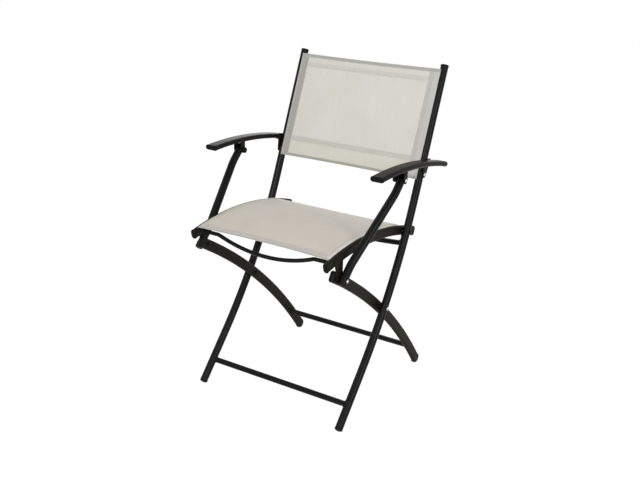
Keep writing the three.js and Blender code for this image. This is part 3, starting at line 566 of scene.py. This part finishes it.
# Camera, light and floor, in metres, watts and degrees. The sensor is in millimetres.
CAMERA_AT = (1.388112, -2.052341, 1.369886)
CAMERA_YAW, CAMERA_PITCH = 33.9527, 21.0182
FOCAL_PIXELS, PICTURE_WIDE, SENSOR = 932.44, 640.0, 36.0
FLOOR_HALF = 14.0
FLOOR_GREY = 0.90
FLOOR_GLOW = 1.07         # how bright the camera sees the floor
FLOOR_GLOW_SHARE = 0.90   # the rest of what it sees is the lit floor with the shadow
WORLD_LIGHT = 0.34        # what the world lights with, while the camera sees 1
LAMPS = [  # name, place, target, size, power
    ("key", (0.5, -3.0, 1.8), (0, 0, 0.45), 0.7, 62),
    ("top", (-0.5, 0.7, 3.0), (0, 0, 0.4), 1.6, 20),
    ("side", (2.8, -0.9, 1.5), (0, 0, 0.5), 0.7, 24),
    ("rear", (-2.2, 3.2, 1.3), (0, 0, 0.6), 1.8, 15),
]


def put_looking(name, data, place, way):
    """A camera or lamp at a place, turned to look along way."""
    obj = bpy.data.objects.new(name, data)
    scene.collection.objects.link(obj)
    obj.location = place
    obj.rotation_mode = "QUATERNION"
    obj.rotation_quaternion = way.to_track_quat("-Z", "Y")
    return obj


def make_camera():
    data = bpy.data.cameras.new("camera")
    data.sensor_width = SENSOR
    data.lens = FOCAL_PIXELS * SENSOR / PICTURE_WIDE
    data.clip_start, data.clip_end = 0.05, 50.0
    yaw, pitch = rad(CAMERA_YAW), rad(CAMERA_PITCH)
    way = Vector((-math.sin(yaw) * math.cos(pitch), math.cos(yaw) * math.cos(pitch), -math.sin(pitch)))
    scene.camera = put_looking("camera", data, CAMERA_AT, way)


def make_lamps():
    for name, place, target, size, power in LAMPS:
        data = bpy.data.lights.new(name, "AREA")
        data.energy, data.size = power, size
        put_looking(name, data, place, Vector(target) - Vector(place))


def seen_rays(nt):
    """One for what the camera sees directly, mirrored or through glass, nought for light elsewhere."""
    path = add_node(nt, "LightPath", {}).outputs
    seen = math_node(nt, "MAXIMUM", path["Is Camera Ray"], path["Is Glossy Ray"])
    return math_node(nt, "MAXIMUM", seen, path["Is Transmission Ray"])


def make_floor():
    mesh = bpy.data.meshes.new("floor")
    s = FLOOR_HALF
    mesh.from_pydata([(-s, -s, 0), (s, -s, 0), (s, s, 0), (-s, s, 0)], [], [(0, 1, 2, 3)])
    floor = bpy.data.objects.new("floor", mesh)
    scene.collection.objects.link(floor)
    m, nt, bsdf = new_material("floor")
    set_inputs(nt, bsdf, {
        "Base Color": (FLOOR_GREY, FLOOR_GREY, FLOOR_GREY, 1),
        "Roughness": 0.9,
        "Specular IOR Level": 0.1,
    })
    white = add_node(nt, "Emission", {"Color": (1, 1, 1, 1), "Strength": FLOOR_GLOW})
    share = math_node(nt, "MULTIPLY", seen_rays(nt), FLOOR_GLOW_SHARE)
    mix = add_node(nt, "MixShader", {0: share, 1: bsdf.outputs[0], 2: white.outputs[0]})
    set_inputs(nt, nt.nodes["Material Output"], {"Surface": mix.outputs[0]})
    mesh.materials.append(m)


def make_world():
    world = bpy.data.worlds.new("world")
    scene.world = world
    world.use_nodes = True
    nt = world.node_tree
    strength = span(nt, seen_rays(nt), 0.0, 1.0, WORLD_LIGHT, 1.0)
    set_inputs(nt, nt.nodes["Background"], {"Color": (1, 1, 1, 1), "Strength": strength})
    scene.view_settings.view_transform = "Standard"


make_camera()
make_floor()
make_world()
make_lamps()


# Tubes, bars and rods.
def crossbar(node, spot, reach_at, body):
    """A level crossbar whose ends follow what they are welded to, with a small weld bead round each."""
    bead = [(1.9, 0.0), (1.5, 1.1), (0.7, 2.0), (0.0, 3.2)]  # how much wider, how far from the end
    ends = []
    for side in SIDES:
        rows = []
        for i, (grow, back) in enumerate(bead):
            row = []
            for u, v in circle(CROSSBAR_R):
                uneven = 1.0 + 0.25 * noise.noise(Vector((u * 0.7, v * 0.7, side * 5.0 + i)))
                k = 1 + grow * uneven / CROSSBAR_R
                row.append(Vector((side * (reach_at(u, v) - back), spot[0] + u * k, spot[1] + v * k)))
            rows.append(row)
        ends.append(rows)
    b = Build()
    b.add(ends[0] + ends[1][::-1])
    return b.make(f"{node}_finished", body, [TUBE], "tube_paint", [node])


def front_bar_reach(u, v):
    """How far out the front crossbar's surface goes before it meets the leaning round tube."""
    d = v * math.sin(foot_lean) - u * math.cos(foot_lean)
    return HALF - math.sqrt((TUBE_R + GAP / 2) ** 2 - min(abs(d), TUBE_R) ** 2)


def rear_bar_reach(u, v):
    return oval_inner - GAP / 2


def main_tube(side):
    """The front leg and back post in one tube. Its section is a circle with a slot beside the cloth, and with a
    narrow flat in the slot's place below that."""
    line = tube_line(side * HALF)
    steps, slot_deep, flat_half, slot_below = 48, 2.4, 0.4, 4.0
    # the section's up is the post's normal, which points forward, so the slot is at the back, turned in
    slot = math.atan2(-math.cos(rad(BACK_TURN)), -side * math.sin(rad(BACK_TURN)))
    half = math.asin(SLOT_HALF / TUBE_R)
    arc = [slot + half + (2 * math.pi - 2 * half) * i / steps for i in range(steps + 1)]
    outer = [(TUBE_R * math.cos(a), TUBE_R * math.sin(a)) for a in arc]
    slotted = outer + slot_floor(slot, TUBE_R - slot_deep, SLOT_HALF)
    plain = outer + slot_floor(slot, TUBE_R, flat_half)
    slot_low = TUBE_LONG - BACK_DOWN - BACK_LONG - slot_below
    b = Build()
    b.add(sweep_rings(line, plain, line.places(0.0, slot_low))
          + sweep_rings(line, slotted, line.places(slot_low, TUBE_LONG)))
    name = f"main_tube_{side_name(side)}"
    return b.make(f"{name}_finished", "main_frame", [TUBE], "tube_paint", [name])


def rear_leg(side):
    line = arc_line(side * inner_plane, leg_spot, leg_front, leg_rear, LEG_ARC_R)
    b = Build()
    b.add(sweep_rings(line, oval(OVAL_W, OVAL_T), line.places(fine=0.6)))
    name = f"rear_leg_{side_name(side)}"
    return b.make(f"{name}_finished", "rear_leg_frame", [OVALS], "oval_bar_paint", [name])


def seat_rail(side):
    """An oval bar whose slot for the cloth opens from its upper half circle."""
    steps, slot_deep = 44, 3.0
    r = OVAL_W / 2
    dy = RAIL_T / 2 - r
    slot = UP + side * rad(SEAT_TURN)
    half = math.asin(SLOT_HALF / r)
    outline, last = [], None
    for i in range(steps + 1):
        a = slot + half + (2 * math.pi - 2 * half) * i / steps
        x, y = r * math.cos(a), r * math.sin(a)
        high = dy if y > 1e-9 else -dy
        if last is not None and high != last:  # a straight side lies between: both its ends
            edge = r if x > 0 else -r
            outline += [(edge, last), (edge, high)]
        outline.append((x, y + high))
        last = high
    outline += slot_floor(slot, r - slot_deep, SLOT_HALF, dy)
    line = arc_line(side * inner_plane, rail_spot, -rail_front, RAIL_REAR, RAIL_ARC_R)
    b = Build()
    b.add(sweep_rings(line, outline, line.places(fine=0.9)))
    name = f"seat_rail_{side_name(side)}"
    return b.make(f"{name}_finished", "seat_frame", [OVALS], "oval_bar_paint", [name])


def front_bow_rod():
    y, z, h = rail_spot(-rail_to_hook - FRONT_ROD_AHEAD)
    half = oval_inner - GAP
    angle = 2 * math.atan(FRONT_ROD_BOW / (half - FRONT_ROD_SHOULDER))
    sweep_r = (half - FRONT_ROD_SHOULDER) / math.sin(angle) - FRONT_ROD_BEND
    shoulder, bend = (FRONT_ROD_SHOULDER, 0.0), (FRONT_ROD_BEND * angle, -angle)
    runs = [shoulder, bend, (2 * sweep_r * angle, 2 * angle), bend, shoulder]
    start = (-half, y + FRONT_ROD_DROP * math.sin(h), z - FRONT_ROD_DROP * math.cos(h))
    line = Line(start, X, Z, 0.0, runs)
    weld_grow, weld_long = 1.6, 2.6

    def section(d):
        edge = min(d, line.total - d)
        return circle(FRONT_ROD_R + weld_grow * max(0.0, 1 - edge / weld_long) ** 0.6, 28)

    b = Build()
    b.add(sweep_rings(line, section, line.places_close_at_ends((0.8, 1.6, 2.4, 2.8)), Y))
    return b.make("front_bow_rod_finished", "seat_frame", [TUBE], "tube_paint", ["front_bow_rod"])


def rear_bow_rod():
    rail = rail_spot(REAR_ROD_AT)
    dip = 2 * math.atan(REAR_ROD_BOW / (inner_plane - REAR_ROD_BEND))
    bow_r = (inner_plane - REAR_ROD_BEND * (1 - math.sin(dip))) / math.sin(dip)
    top = rail[1] - RAIL_T / 2 + REAR_ROD_LET_IN
    rise = top - (rail[1] - REAR_ROD_DROP) - REAR_ROD_BEND * math.cos(dip)
    turn = UP - dip
    upright, bend = (rise, 0.0), (REAR_ROD_BEND * turn, turn)
    runs = [upright, bend, (2 * bow_r * dip, 2 * dip), bend, upright]
    line = Line((-inner_plane, rail[0], top), X, Z, -UP, runs)
    b = Build()
    b.add(sweep_rings(line, circle(REAR_ROD_R, 28), line.places(fine=4.0), Y))
    return b.make("rear_bow_rod_finished", "seat_frame", [TUBE], "tube_paint", ["rear_bow_rod"])


def strut(side):
    """A cranked round strut with a low domed plug in each end."""
    name = f"strut_{side_name(side)}"
    rise = Vector((0, strut_pivot[0] - front_pivot[0], strut_pivot[1] - front_pivot[1]))
    way = rise.normalized()
    sideways = X * side
    middle = rise.length - 2 * STRUT_END
    lean = math.atan2(STRUT_TOP_PLANE - strut_foot_plane, middle)
    tangent = STRUT_BEND / lean * math.tan(lean / 2)
    end = (STRUT_OVER + STRUT_END - tangent, 0.0)
    runs = [end, (STRUT_BEND, lean), (middle / math.cos(lean) - 2 * tangent, 0.0), (STRUT_BEND, -lean), end]
    foot = Vector((side * (HALF + strut_foot_plane), front_pivot[0], front_pivot[1]))
    line = Line(foot - way * STRUT_OVER, way, sideways, 0.0, runs)
    third = way.cross(sideways)
    steps, edge_r = 40, 0.7

    def section(d):
        short = max(0.0, edge_r - min(d, line.total - d))
        return circle(STRUT_R - edge_r + math.sqrt(edge_r ** 2 - short ** 2), steps)

    b = Build()
    b.add(sweep_rings(line, section, line.places_close_at_ends((0.0, 0.2, 0.45), edge_r), third))
    plug_r, plug_edge, plug_high = STRUT_R - 0.4, 0.6, 4.6
    for d, sign in ((0.0, -1), (line.total, 1)):
        point, ahead, normal = line.frame(d)
        out = ahead * sign
        plug = [ring(point - out * 0.2, third, normal, circle(plug_r - 0.1, steps))]
        for i in range(9):
            a = UP * i / 8
            r = plug_r * (0.45 + 0.55 * math.cos(a) ** 0.7)
            high = plug_edge + (plug_high - plug_edge) * math.sin(a)
            plug.append(ring(point + out * high, third, normal, circle(r, steps)))
        b.add(plug, mat=1)
    return b.make(f"{name}_finished", f"{name}_body", [TUBE, BLACK], "tube_paint", [name])


# Caps.
def make_cap(build, node, body, angle=50):
    return build.make(f"{node}_finished", body, [BLACK], "black_plastic", [node], angle=angle)


def domed_cap(node, body, end, wide, tall, high):
    """A moulded end cap whose face is well rounded, more across the tall way than the narrow way."""
    point, out = end
    up = out.cross(X).normalized()
    wide, tall = wide + 2 * CAP_LIP, tall + 2 * CAP_LIP
    straight, steps = 1.2, 12
    rings = [ring(point + out * GAP, X, up, oval(wide, tall))]
    for i in range(steps + 1):
        t = math.sin(UP * i / steps)
        w = max(wide * (0.30 + 0.70 * (1 - t ** 5) ** (1 / 3)), 1.0)
        k = max(tall * (0.36 + 0.64 * (1 - t ** 2.6) ** (1 / 2.4)), w + 0.5)
        rings.append(ring(point + out * (GAP + straight + (high - straight) * t), X, up, oval(w, k)))
    b = Build()
    b.add(rings)
    return make_cap(b, node, body, 55)


def end_cap(node, body, end, wide, tall, lip=CAP_LIP):
    """A moulded end cap: a thin lip on the bar's end, and a face with a soft round edge."""
    point, out = end
    up = out.cross(X).normalized()
    edge = 2.6
    side_high = CAP_THICK - edge
    levels = [(0.0, lip), (side_high * 0.5, lip), (side_high, lip)]
    levels += [(side_high + edge * math.sin(a), lip - edge * (1 - math.cos(a))) for a in QUARTER]
    levels += [(CAP_THICK + 0.25, lip - edge - 1.4)]
    b = Build()
    b.add([ring(point + out * (GAP + h), X, up, oval(wide + 2 * grow, tall + 2 * grow, 10))
           for h, grow in levels])
    return make_cap(b, node, body)


def round_end_cap(node, end, edge, dome):
    """A moulded cap on a main tube's end. Where it would reach below the floor it is worn flat."""
    point, out = end
    top, flat_r = GAP + CAP_THICK, cap_r - edge
    profile = [(0, GAP), (cap_r, GAP), (cap_r, top - edge)]
    profile += [(flat_r + edge * math.cos(a), top - edge + edge * math.sin(a)) for a in QUARTER]
    profile += [(flat_r * q, top + dome * (1 - q * q)) for q in (0.8, 0.6, 0.4, 0.2, 0.0)]
    b = Build()
    turned(b, point, out, profile, 36)
    b.v = [(x, y, max(z, 0.0)) for x, y, z in b.v]
    return make_cap(b, node, "main_frame")


def arm(side):
    name, body = side_name(side), f"arm_{side_name(side)}_body"
    x = side * arm_plane
    line = arc_line(x, arm_spot, -ARM_AHEAD, ARM_BEHIND, ARM_ARC_R)
    b = Build()
    b.add(sweep_rings(line, oval(ARM_W, ARM_T), line.places(fine=0.9)))
    b.make(f"armrest_{name}_finished", body, [ARMS], "tube_paint", [f"armrest_{name}"])
    end_cap(f"arm_front_cap_{name}", body, bar_end(x, arm_spot(-ARM_AHEAD), -1), ARM_W, ARM_T)
    end_cap(f"arm_rear_cap_{name}", body, bar_end(x, arm_spot(ARM_BEHIND), 1), ARM_W, ARM_T)


# Fasteners.
NUT_R = 5.3               # to a corner
WASHER_R = 5.4
SHANK_R = 2.95
STUB_R = 2.8              # the threaded end that shows past the nut


def nut_outline(round_off):
    """A hexagon whose corners are cut back to the circle of NUT_R times round_off."""
    pts = []
    for a in turns(48):
        flat = NUT_R * math.cos(math.pi / 6) / math.cos(a % (math.pi / 3) - math.pi / 6)
        r = min(flat, NUT_R * round_off)
        pts.append((r * math.cos(a), r * math.sin(a)))
    return pts


def bolt(node, body, side, spot, inner, outer, nut=True, head=True, head_r=WASHER_R, dark_head=False):
    """A shank along X, with a washer and hexagon nut at its inner end and a domed head at its outer end."""
    b = Build()
    at, out = Vector((0, spot[0], spot[1])), X * side
    if nut:
        levels = ((-4.0, 0.90), (-3.75, 0.94), (-3.3, 1.0), (-0.9, 1.0), (-0.8, 1.0))
        b.add([ring(at + out * (inner + h), Y, Z, nut_outline(k)) for h, k in levels], mat=1)
        washer = [(0, -0.8), (WASHER_R, -0.8), (WASHER_R, -0.15), (WASHER_R - 0.3, 0), (0, 0)]
        turned(b, at, out, [(r, inner + h) for r, h in washer], 32, mat=1)
        stub = [(0, -5.0), (STUB_R - 0.5, -5.0), (STUB_R, -4.6), (STUB_R, -3.9), (0, -3.9)]
        turned(b, at, out, [(r, inner + h) for r, h in stub], 20, mat=1)
    low = inner if nut else inner - 0.05
    turned(b, at, out, [(0, low), (SHANK_R, low), (SHANK_R, outer), (0, outer)])
    if head:
        foot, high = 0.75, 3.1
        profile = [(0, 0), (head_r, 0), (head_r, 0.55), (head_r - 0.5, foot)]
        profile += [((head_r - 0.7) * math.cos(rad(t)), foot + (high - foot) * math.sin(rad(t)))
                    for t in (0, 15, 30, 45, 60, 75)]
        profile += [(0, high)]
        turned(b, at, out, [(r, outer + h) for r, h in profile], 32, mat=1 if dark_head else 0)
    return b.make(f"{node}_finished", body, [ZINC, DARK], "zinc_steel", [node], angle=40)


def knob(node, body, side, spot, inner, outer):
    """A ribbed round knob whose face points to the sitter."""
    ribs = 12
    rows = []
    for t, r in ((0.0, 6.9), (0.08, 7.2), (0.25, 8.4), (0.75, 8.5), (0.9, 7.8), (1.0, 6.3), (1.04, 4.6)):
        deep = 0.045 if 0.2 < t < 0.95 else 0.01
        radii = [(a, r * (1 - deep * (0.5 + 0.5 * math.cos(a * ribs)))) for a in turns(48)]
        at = Vector((side * (outer - (outer - inner) * t), spot[0], spot[1]))
        rows.append(ring(at, Y, Z, [(k * math.cos(a), k * math.sin(a)) for a, k in radii]))
    b = Build()
    b.add(rows)
    return make_cap(b, node, body, 45)


def dress_frame():
    for side in SIDES:
        name = side_name(side)
        main_tube(side)
        rear_leg(side)
        seat_rail(side)
        arm(side)
        strut(side)
        x = side * HALF
        round_end_cap(f"post_cap_{name}", bar_end(x, tube_spot(TUBE_LONG), 1), 2.4, 0.3)
        round_end_cap(f"foot_cap_front_{name}", bar_end(x, tube_spot(0.0), -1), 3.2, 2.4)
        x = side * inner_plane
        front, rear, nose = (bar_end(x, *at) for at in (
            (rail_spot(-rail_front), -1), (rail_spot(RAIL_REAR), 1), (leg_spot(leg_front), -1)))
        domed_cap(f"rail_front_cap_{name}", "seat_frame", front, OVAL_W, RAIL_T, CAP_THICK + 0.8)
        end_cap(f"rail_rear_cap_{name}", "seat_frame", rear, OVAL_W, RAIL_T)
        end_cap(f"rear_leg_nose_cap_{name}", "rear_leg_frame", nose, OVAL_W, OVAL_T, 0.0)
    crossbar("front_crossbar", front_bar, front_bar_reach, "main_frame")
    crossbar("rear_crossbar", leg_spot(REAR_BAR_AT), rear_bar_reach, "rear_leg_frame")
    front_bow_rod()
    rear_bow_rod()


def dress_bolts():
    nut_plane, head_plane = oval_inner - GAP, HALF + TUBE_R + GAP
    strut_foot = HALF + strut_foot_plane
    cheek = STRUT_R + 0.5 + PLATE + GAP
    fork_in, fork_out = HALF + STRUT_TOP_PLANE - cheek, HALF + STRUT_TOP_PLANE + cheek
    bolt_end, knob_end, strut_head_r = 4.5, 9.0, 4.7
    for side in SIDES:
        name = side_name(side)
        arm_body, strut_body = f"arm_{name}_body", f"strut_{name}_body"
        bolt(f"scissor_bolt_{name}", "main_frame", side, scissor, nut_plane, head_plane)
        bolt(f"seat_pivot_bolt_{name}", "main_frame", side, seat_pivot, nut_plane, head_plane, dark_head=True)
        bolt(f"arm_pivot_bolt_{name}", "main_frame", side, arm_pivot,
             HALF - TUBE_R - GAP, head_plane + PLATE + GAP)
        bolt(f"front_pivot_pin_{name}", "rear_leg_frame", side, front_pivot,
             nut_plane, hook_outer, head=False)
        bolt(f"strut_bolt_{name}", arm_body, side, strut_pivot, fork_in - bolt_end, fork_out, nut=False)
        knob(f"strut_knob_{name}", arm_body, side, strut_pivot, fork_in - knob_end, fork_in)
        bolt(f"strut_foot_bolt_{name}", strut_body, side, front_pivot,
             strut_foot - STRUT_R, strut_foot + STRUT_R + GAP, nut=False, head_r=strut_head_r)


dress_frame()
dress_bolts()


# Cloth.
def even(a, b, step):
    """The middles of equal steps from a to b."""
    n = int((b - a) / step)
    return [a + (b - a) * (i + 0.5) / n for i in range(n)]


def grid_round(stops, grid):
    """The stops, and those of the grid that aren't close to one."""
    return sorted(list(stops) + [g for g in grid if all(abs(g - s) > 1.2 for s in stops)])


def across_points(bead, mouth, level, turn_r, stops=(), step=6.0):
    """The cloth's middle line across: up out of its bar, round a small bend, and level to the other side.
    Returns (u, (x, height), normal) with u measured along the cloth from its middle."""
    inward = Vector((-1, 0))
    way = Vector((mouth[0] - bead[0], mouth[1] - bead[1])).normalized()
    # where the neck's line meets the level of the panel
    corner = Vector((mouth[0] + way[0] * (level - mouth[1]) / way[1], level))
    angle = math.acos(way.dot(inward))
    tangent = turn_r * math.tan(angle / 2)
    low, high = corner - way * tangent, corner + inward * tangent
    half = [(Vector(bead), way), (low, way)]
    for f in (0.2, 0.4, 0.6, 0.8):
        chord = 2 * turn_r * math.sin(angle * f / 2)
        half.append((low + way.slerp(inward, f / 2) * chord, way.slerp(inward, f)))
    half.append((high, inward))
    grid = [high.x - step * i for i in range(1, int(high.x / step) + 1)]
    grid = [x for x in grid if x > step * 0.4] + [0.0]
    half += [(Vector((x, level)), inward) for x in reversed(grid_round(stops, grid))]

    u, right = 0.0, []
    before = half[-1][0]
    for point, d in reversed(half):
        u += (before - point).length
        right.append((u, (point.x, point.y), (d.y, -d.x)))
        before = point
    left = [(-u, (-p[0], p[1]), (-q[0], q[1])) for u, p, q in right[1:]]
    return right[::-1] + left


def flat_half(line, level):
    """How far the level part of a cloth reaches from its middle."""
    return max(u for u, p, _ in line if abs(p[1] - level) < 1e-6)


def thick(layers):
    return CLOTH_HALF + LAYER * (layers - 1)


def cloth_sheet(name, body, node, line, vs, frame_at, lift, layers, material):
    """A thin closed sheet. line comes from across_points, and vs are the places along. frame_at(v) gives the
    origin there, the way out of the cloth and the way along it. lift(u, v) moves a point by (forth, up), and
    layers(u, v) counts the layers of cloth that lie there."""
    b = Build()
    top, low = [], []
    for v in vs:
        origin, up, ahead = frame_at(v)
        for u, p, q in line:
            forth, high = lift(u, v)
            base = origin + X * p[0] + up * (p[1] + high) + ahead * forth
            normal = X * q[0] + up * q[1]
            over, under = base + normal * thick(layers(u, v)), base - normal * CLOTH_HALF
            for side, point in ((top, over), (low, under)):
                side.append(len(b.v))
                b.uv[len(b.v)] = (u, v)
                b.v.append(tuple(point))
    wide, rows = len(line), len(vs)
    for j in range(rows - 1):
        for i in range(j * wide, (j + 1) * wide - 1):
            b.face((top[i], top[i + 1], top[i + 1 + wide], top[i + wide]))
            b.face((low[i], low[i + wide], low[i + 1 + wide], low[i + 1]))
    end = (rows - 1) * wide
    for i in range(wide - 1):
        b.face((top[i], low[i], low[i + 1], top[i + 1]))
        b.face((top[end + i], top[end + i + 1], low[end + i + 1], low[end + i]))
    for i in range(0, end, wide):
        b.face((top[i], top[i + wide], low[i + wide], low[i]))
        k = i + wide - 1
        b.face((top[k], low[k], low[k + wide], top[k + wide]))
    return b.make(name, body, [material], "sling_cloth", [node], angle=60, weld=False)


def stitch_rows(name, body, rows, level, frame_at, lift, layers):
    """Short stitches of thread, each a small spindle that dips into the cloth at both ends."""
    # along the stitch, radius, height over the cloth
    end, shoulder, middle = (0.10, -0.25), (0.24, 0.02), (0.29, 0.12)
    spindle = ((-1.5, *end), (-1.1, *shoulder), (0.0, *middle), (1.1, *shoulder), (1.5, *end))
    b = Build()
    for row in rows:
        lengthways = abs(row[0][0] - row[-1][0]) < 1e-6
        for u, v in row:
            origin, up, ahead = frame_at(v)
            forth, high = lift(u, v)
            base = origin + ahead * forth + up * (level + high + thick(layers(u, v))) + X * u
            way = ahead if lengthways else X
            third = up.cross(way).normalized()
            b.add([ring(base + way * t + up * h, third, up, circle(r, 6)) for t, r, h in spindle])
    return b.make(name, body, [THREAD], "sling_cloth", angle=80, weld=False)


def back_cloth():
    s, c = math.sin(rad(BACK_TURN)), math.cos(rad(BACK_TURN))
    level = TUBE_R + CLOTH_PLAY + BACK_LIFT
    mouth = (HALF - TUBE_R * s, TUBE_R * c)
    bead = (HALF - BACK_EDGE_AT * s, BACK_EDGE_AT * c)
    edge = HALF - level * s / c
    hem = edge - BACK_HEM
    line = across_points(bead, mouth, level, BACK_NECK_R, (hem - 0.5, hem + 0.5, hem + 6.0, edge - 3.0))
    flat_edge = flat_half(line, level)
    long = BACK_LONG
    # where the lower and the upper seam start and end, with three layers of cloth between
    low_seam, high_seam = (48.0, 61.0), (long - 37.3, long - 24.7)
    stops = [0.0, 0.6, 2.0, long - 2.0, long - 0.6, long]
    stops += [t + d for t in low_seam + high_seam for d in (-0.3, 0.3)]
    vs = grid_round(stops, [long * i / 40 for i in range(1, 40)])
    ahead = Vector((0, math.sin(back_lean), math.cos(back_lean)))
    front = Vector((0, -math.cos(back_lean), math.sin(back_lean)))
    foot = Vector((0, *tube_spot(TUBE_LONG - BACK_DOWN - long)[:2]))

    def frame_at(v):
        return foot + ahead * v, front, ahead

    def layers(u, v):
        if abs(u) > flat_edge - BACK_HEM or v < low_seam[0] or v > high_seam[1]:
            return 2
        return 3 if v < low_seam[1] or v > high_seam[0] else 1

    def lift(u, v):
        f = max(0.0, 1 - (abs(u) / flat_edge) ** 2)
        k = (v / long - 0.5) * 2
        sag = -2.2 * f * (1 - 0.35 * k * k)
        ripple = 0.35 * noise.noise(Vector((u * 0.02, v * 0.03, 3.1))) * f
        return -1.6 * f * k * abs(k), sag + ripple

    e = flat_edge
    cloth = woven("back_sling_cloth", (0.612, 0.592, 0.540), [
        ("v", 0.0, 49.5, 1.0, (0.598, 0.580, 0.515)),             # below the lower seam
        ("v", long - 26.0, long, 1.0, (0.600, 0.585, 0.535)),     # above the upper seam
        ("v", 47.5, 61.5, 2.4, (0.505, 0.493, 0.447)),            # the lower seam
        ("v", long - 37.4, long - 24.6, 2.0, (0.545, 0.532, 0.483)),  # the upper seam
        ("s", e - 26.5, e + 20, 1.0, (0.444, 0.436, 0.404)),      # the side hems, greyer where the cloth lies double; painted shade makes the hem at the right post (negative s) darker than the other
        ("s", -e - 20, -e + 23.0, 1.0, (0.347, 0.341, 0.306)),
        # painted highlights on the hems' outer parts, where the cloth turns into the slots
        ("s", e - 13.0, e + 20, 2.0, (0.481, 0.476, 0.447)),
        ("s", -e - 20, -e + 4.0, 1.5, (0.402, 0.396, 0.361)),
        ("v", 0.0, 8.2, 1.6, (0.345, 0.343, 0.295)),              # painted shade along the folded lower and upper edge
        ("v", long - 10.0, long, 2.5, (0.362, 0.366, 0.332)),
    ])
    obj = cloth_sheet("back_sling_finished", "main_frame", "back_sling",
                      line, vs, frame_at, lift, layers, cloth)
    rows = [[(side * (e - inset), v) for v in even(3.0, long - 3.0, STITCH_PITCH)]
            for side in SIDES for inset in (BACK_HEM - 2.2, BACK_HEM - 5.0)]
    rows += [[(u, v) for u in even(BACK_HEM - e, e - BACK_HEM, STITCH_PITCH)]
             for v in (49.8, 59.2, long - 26.4, long - 35.6)]
    stitches = stitch_rows("back_sling_stitching", "main_frame", rows, level, frame_at, lift, layers)


def seat_cloth():
    s, c = math.sin(rad(SEAT_TURN)), math.cos(rad(SEAT_TURN))
    r = OVAL_W / 2
    dy = RAIL_T / 2 - r
    mouth = (inner_plane - r * s, dy + r * c)
    bead = (inner_plane - SEAT_EDGE_AT * s, dy + SEAT_EDGE_AT * c)
    level = dy + (r + CLOTH_PLAY) * c + SLOT_HALF * s + CLOTH_HALF
    line = across_points(bead, mouth, level, SEAT_NECK_R)
    flat_edge = flat_half(line, level)
    start = SEAT_FRONT - rail_front
    long = -SEAT_REAR - start
    hem = SEAT_HEM
    stops = [0.0, 0.6, 2.0, long - 2.0, long - 0.6, long]
    stops += [t + d for t in (hem, long - hem) for d in (-0.5, 0.5)]
    vs = grid_round(stops, [long * i / 64 for i in range(1, 64)])

    def frame_at(v):
        y, z, h = rail_spot(start + v)
        ahead = Vector((0, math.cos(h), math.sin(h)))
        return Vector((0, y, z)), Vector((0, -ahead.z, ahead.y)), ahead

    def layers(u, v):
        return 2 if v < hem or v > long - hem or abs(u) > flat_edge - SEAT_SIDE_HEM else 1

    def lift(u, v):
        f = max(0.0, 1 - (abs(u) / flat_edge) ** 2)
        k = v / long
        front_pull = 8.0 * f * max(0.0, 1 - k * 3) ** 2
        rear_pull = -1.0 * f * max(0.0, k * 3 - 2) ** 2
        sag = -1.5 * f * (1 - 0.9 * k * k)
        ripple = 0.5 * noise.noise(Vector((u * 0.012, v * 0.02, 7.7))) * f
        return front_pull + rear_pull, sag + ripple

    e = flat_edge
    cloth = woven("seat_sling_cloth", (0.568, 0.526, 0.460), [
        ("v", 0.0, hem, 0.8, (0.492, 0.462, 0.418)),              # the front hem
        ("v", long - 70, long + 60, 50.0, (0.640, 0.590, 0.525)),  # paler towards the rear
        ("v", long - 22, long, 1.5, (0.745, 0.720, 0.668)),       # the rear hem
        ("u", e - 12.0, e + 20, 4.0, (0.505, 0.468, 0.405)),      # darker along the rails
        ("s", e - 12.0, e - 6.2, 1.2, (0.500, 0.468, 0.410)),     # the seam, and a painted highlight on the strip at the left rail, where the cloth turns over it
        ("s", e - 4.8, e + 20, 1.0, (0.640, 0.610, 0.560)),
        ("v", 0.0, 4.5, 1.0, (0.400, 0.385, 0.345)),              # the front edge
    ])
    obj = cloth_sheet("seat_sling_finished", "seat_frame", "seat_sling",
                      line, vs, frame_at, lift, layers, cloth)
    rows = [[(u, v) for u in even(4 - e, e - 4, STITCH_PITCH)]
            for v in (hem - 2.5, hem - 5.5, long - hem + 2.5, long - hem + 5.5)]
    stitches = stitch_rows("seat_sling_stitching", "seat_frame", rows, level, frame_at, lift, layers)


back_cloth()
seat_cloth()


# The solids that stay get their finish and soft edges.
def keep_solids():
    finish = {"tube_paint": TUBE, "oval_bar_paint": OVALS, "black_plastic": BLACK, "zinc_steel": ZINC}
    for part in frame["record"]["subparts"]:
        obj = frame["nodes"][part["node"]]
        if obj.hide_render:
            continue
        mat = finish.get(part["material_slot"], BLACK)
        for s in obj.material_slots:
            s.material = mat
        if not obj.material_slots:
            obj.data.materials.append(mat)
        weld = obj.modifiers.new("weld", "WELD")
        weld.merge_threshold = 0.01 * MM
        thin = obj.modifiers.new("flat", "DECIMATE")
        thin.decimate_type = "DISSOLVE"
        thin.angle_limit = rad(1.0)
        soft = obj.modifiers.new("edges", "BEVEL")
        soft.width = 0.3 * MM
        soft.segments = 2
        soft.limit_method = "ANGLE"
        soft.angle_limit = rad(35)
        obj.data.polygons.foreach_set("use_smooth", [True] * len(obj.data.polygons))


keep_solids()
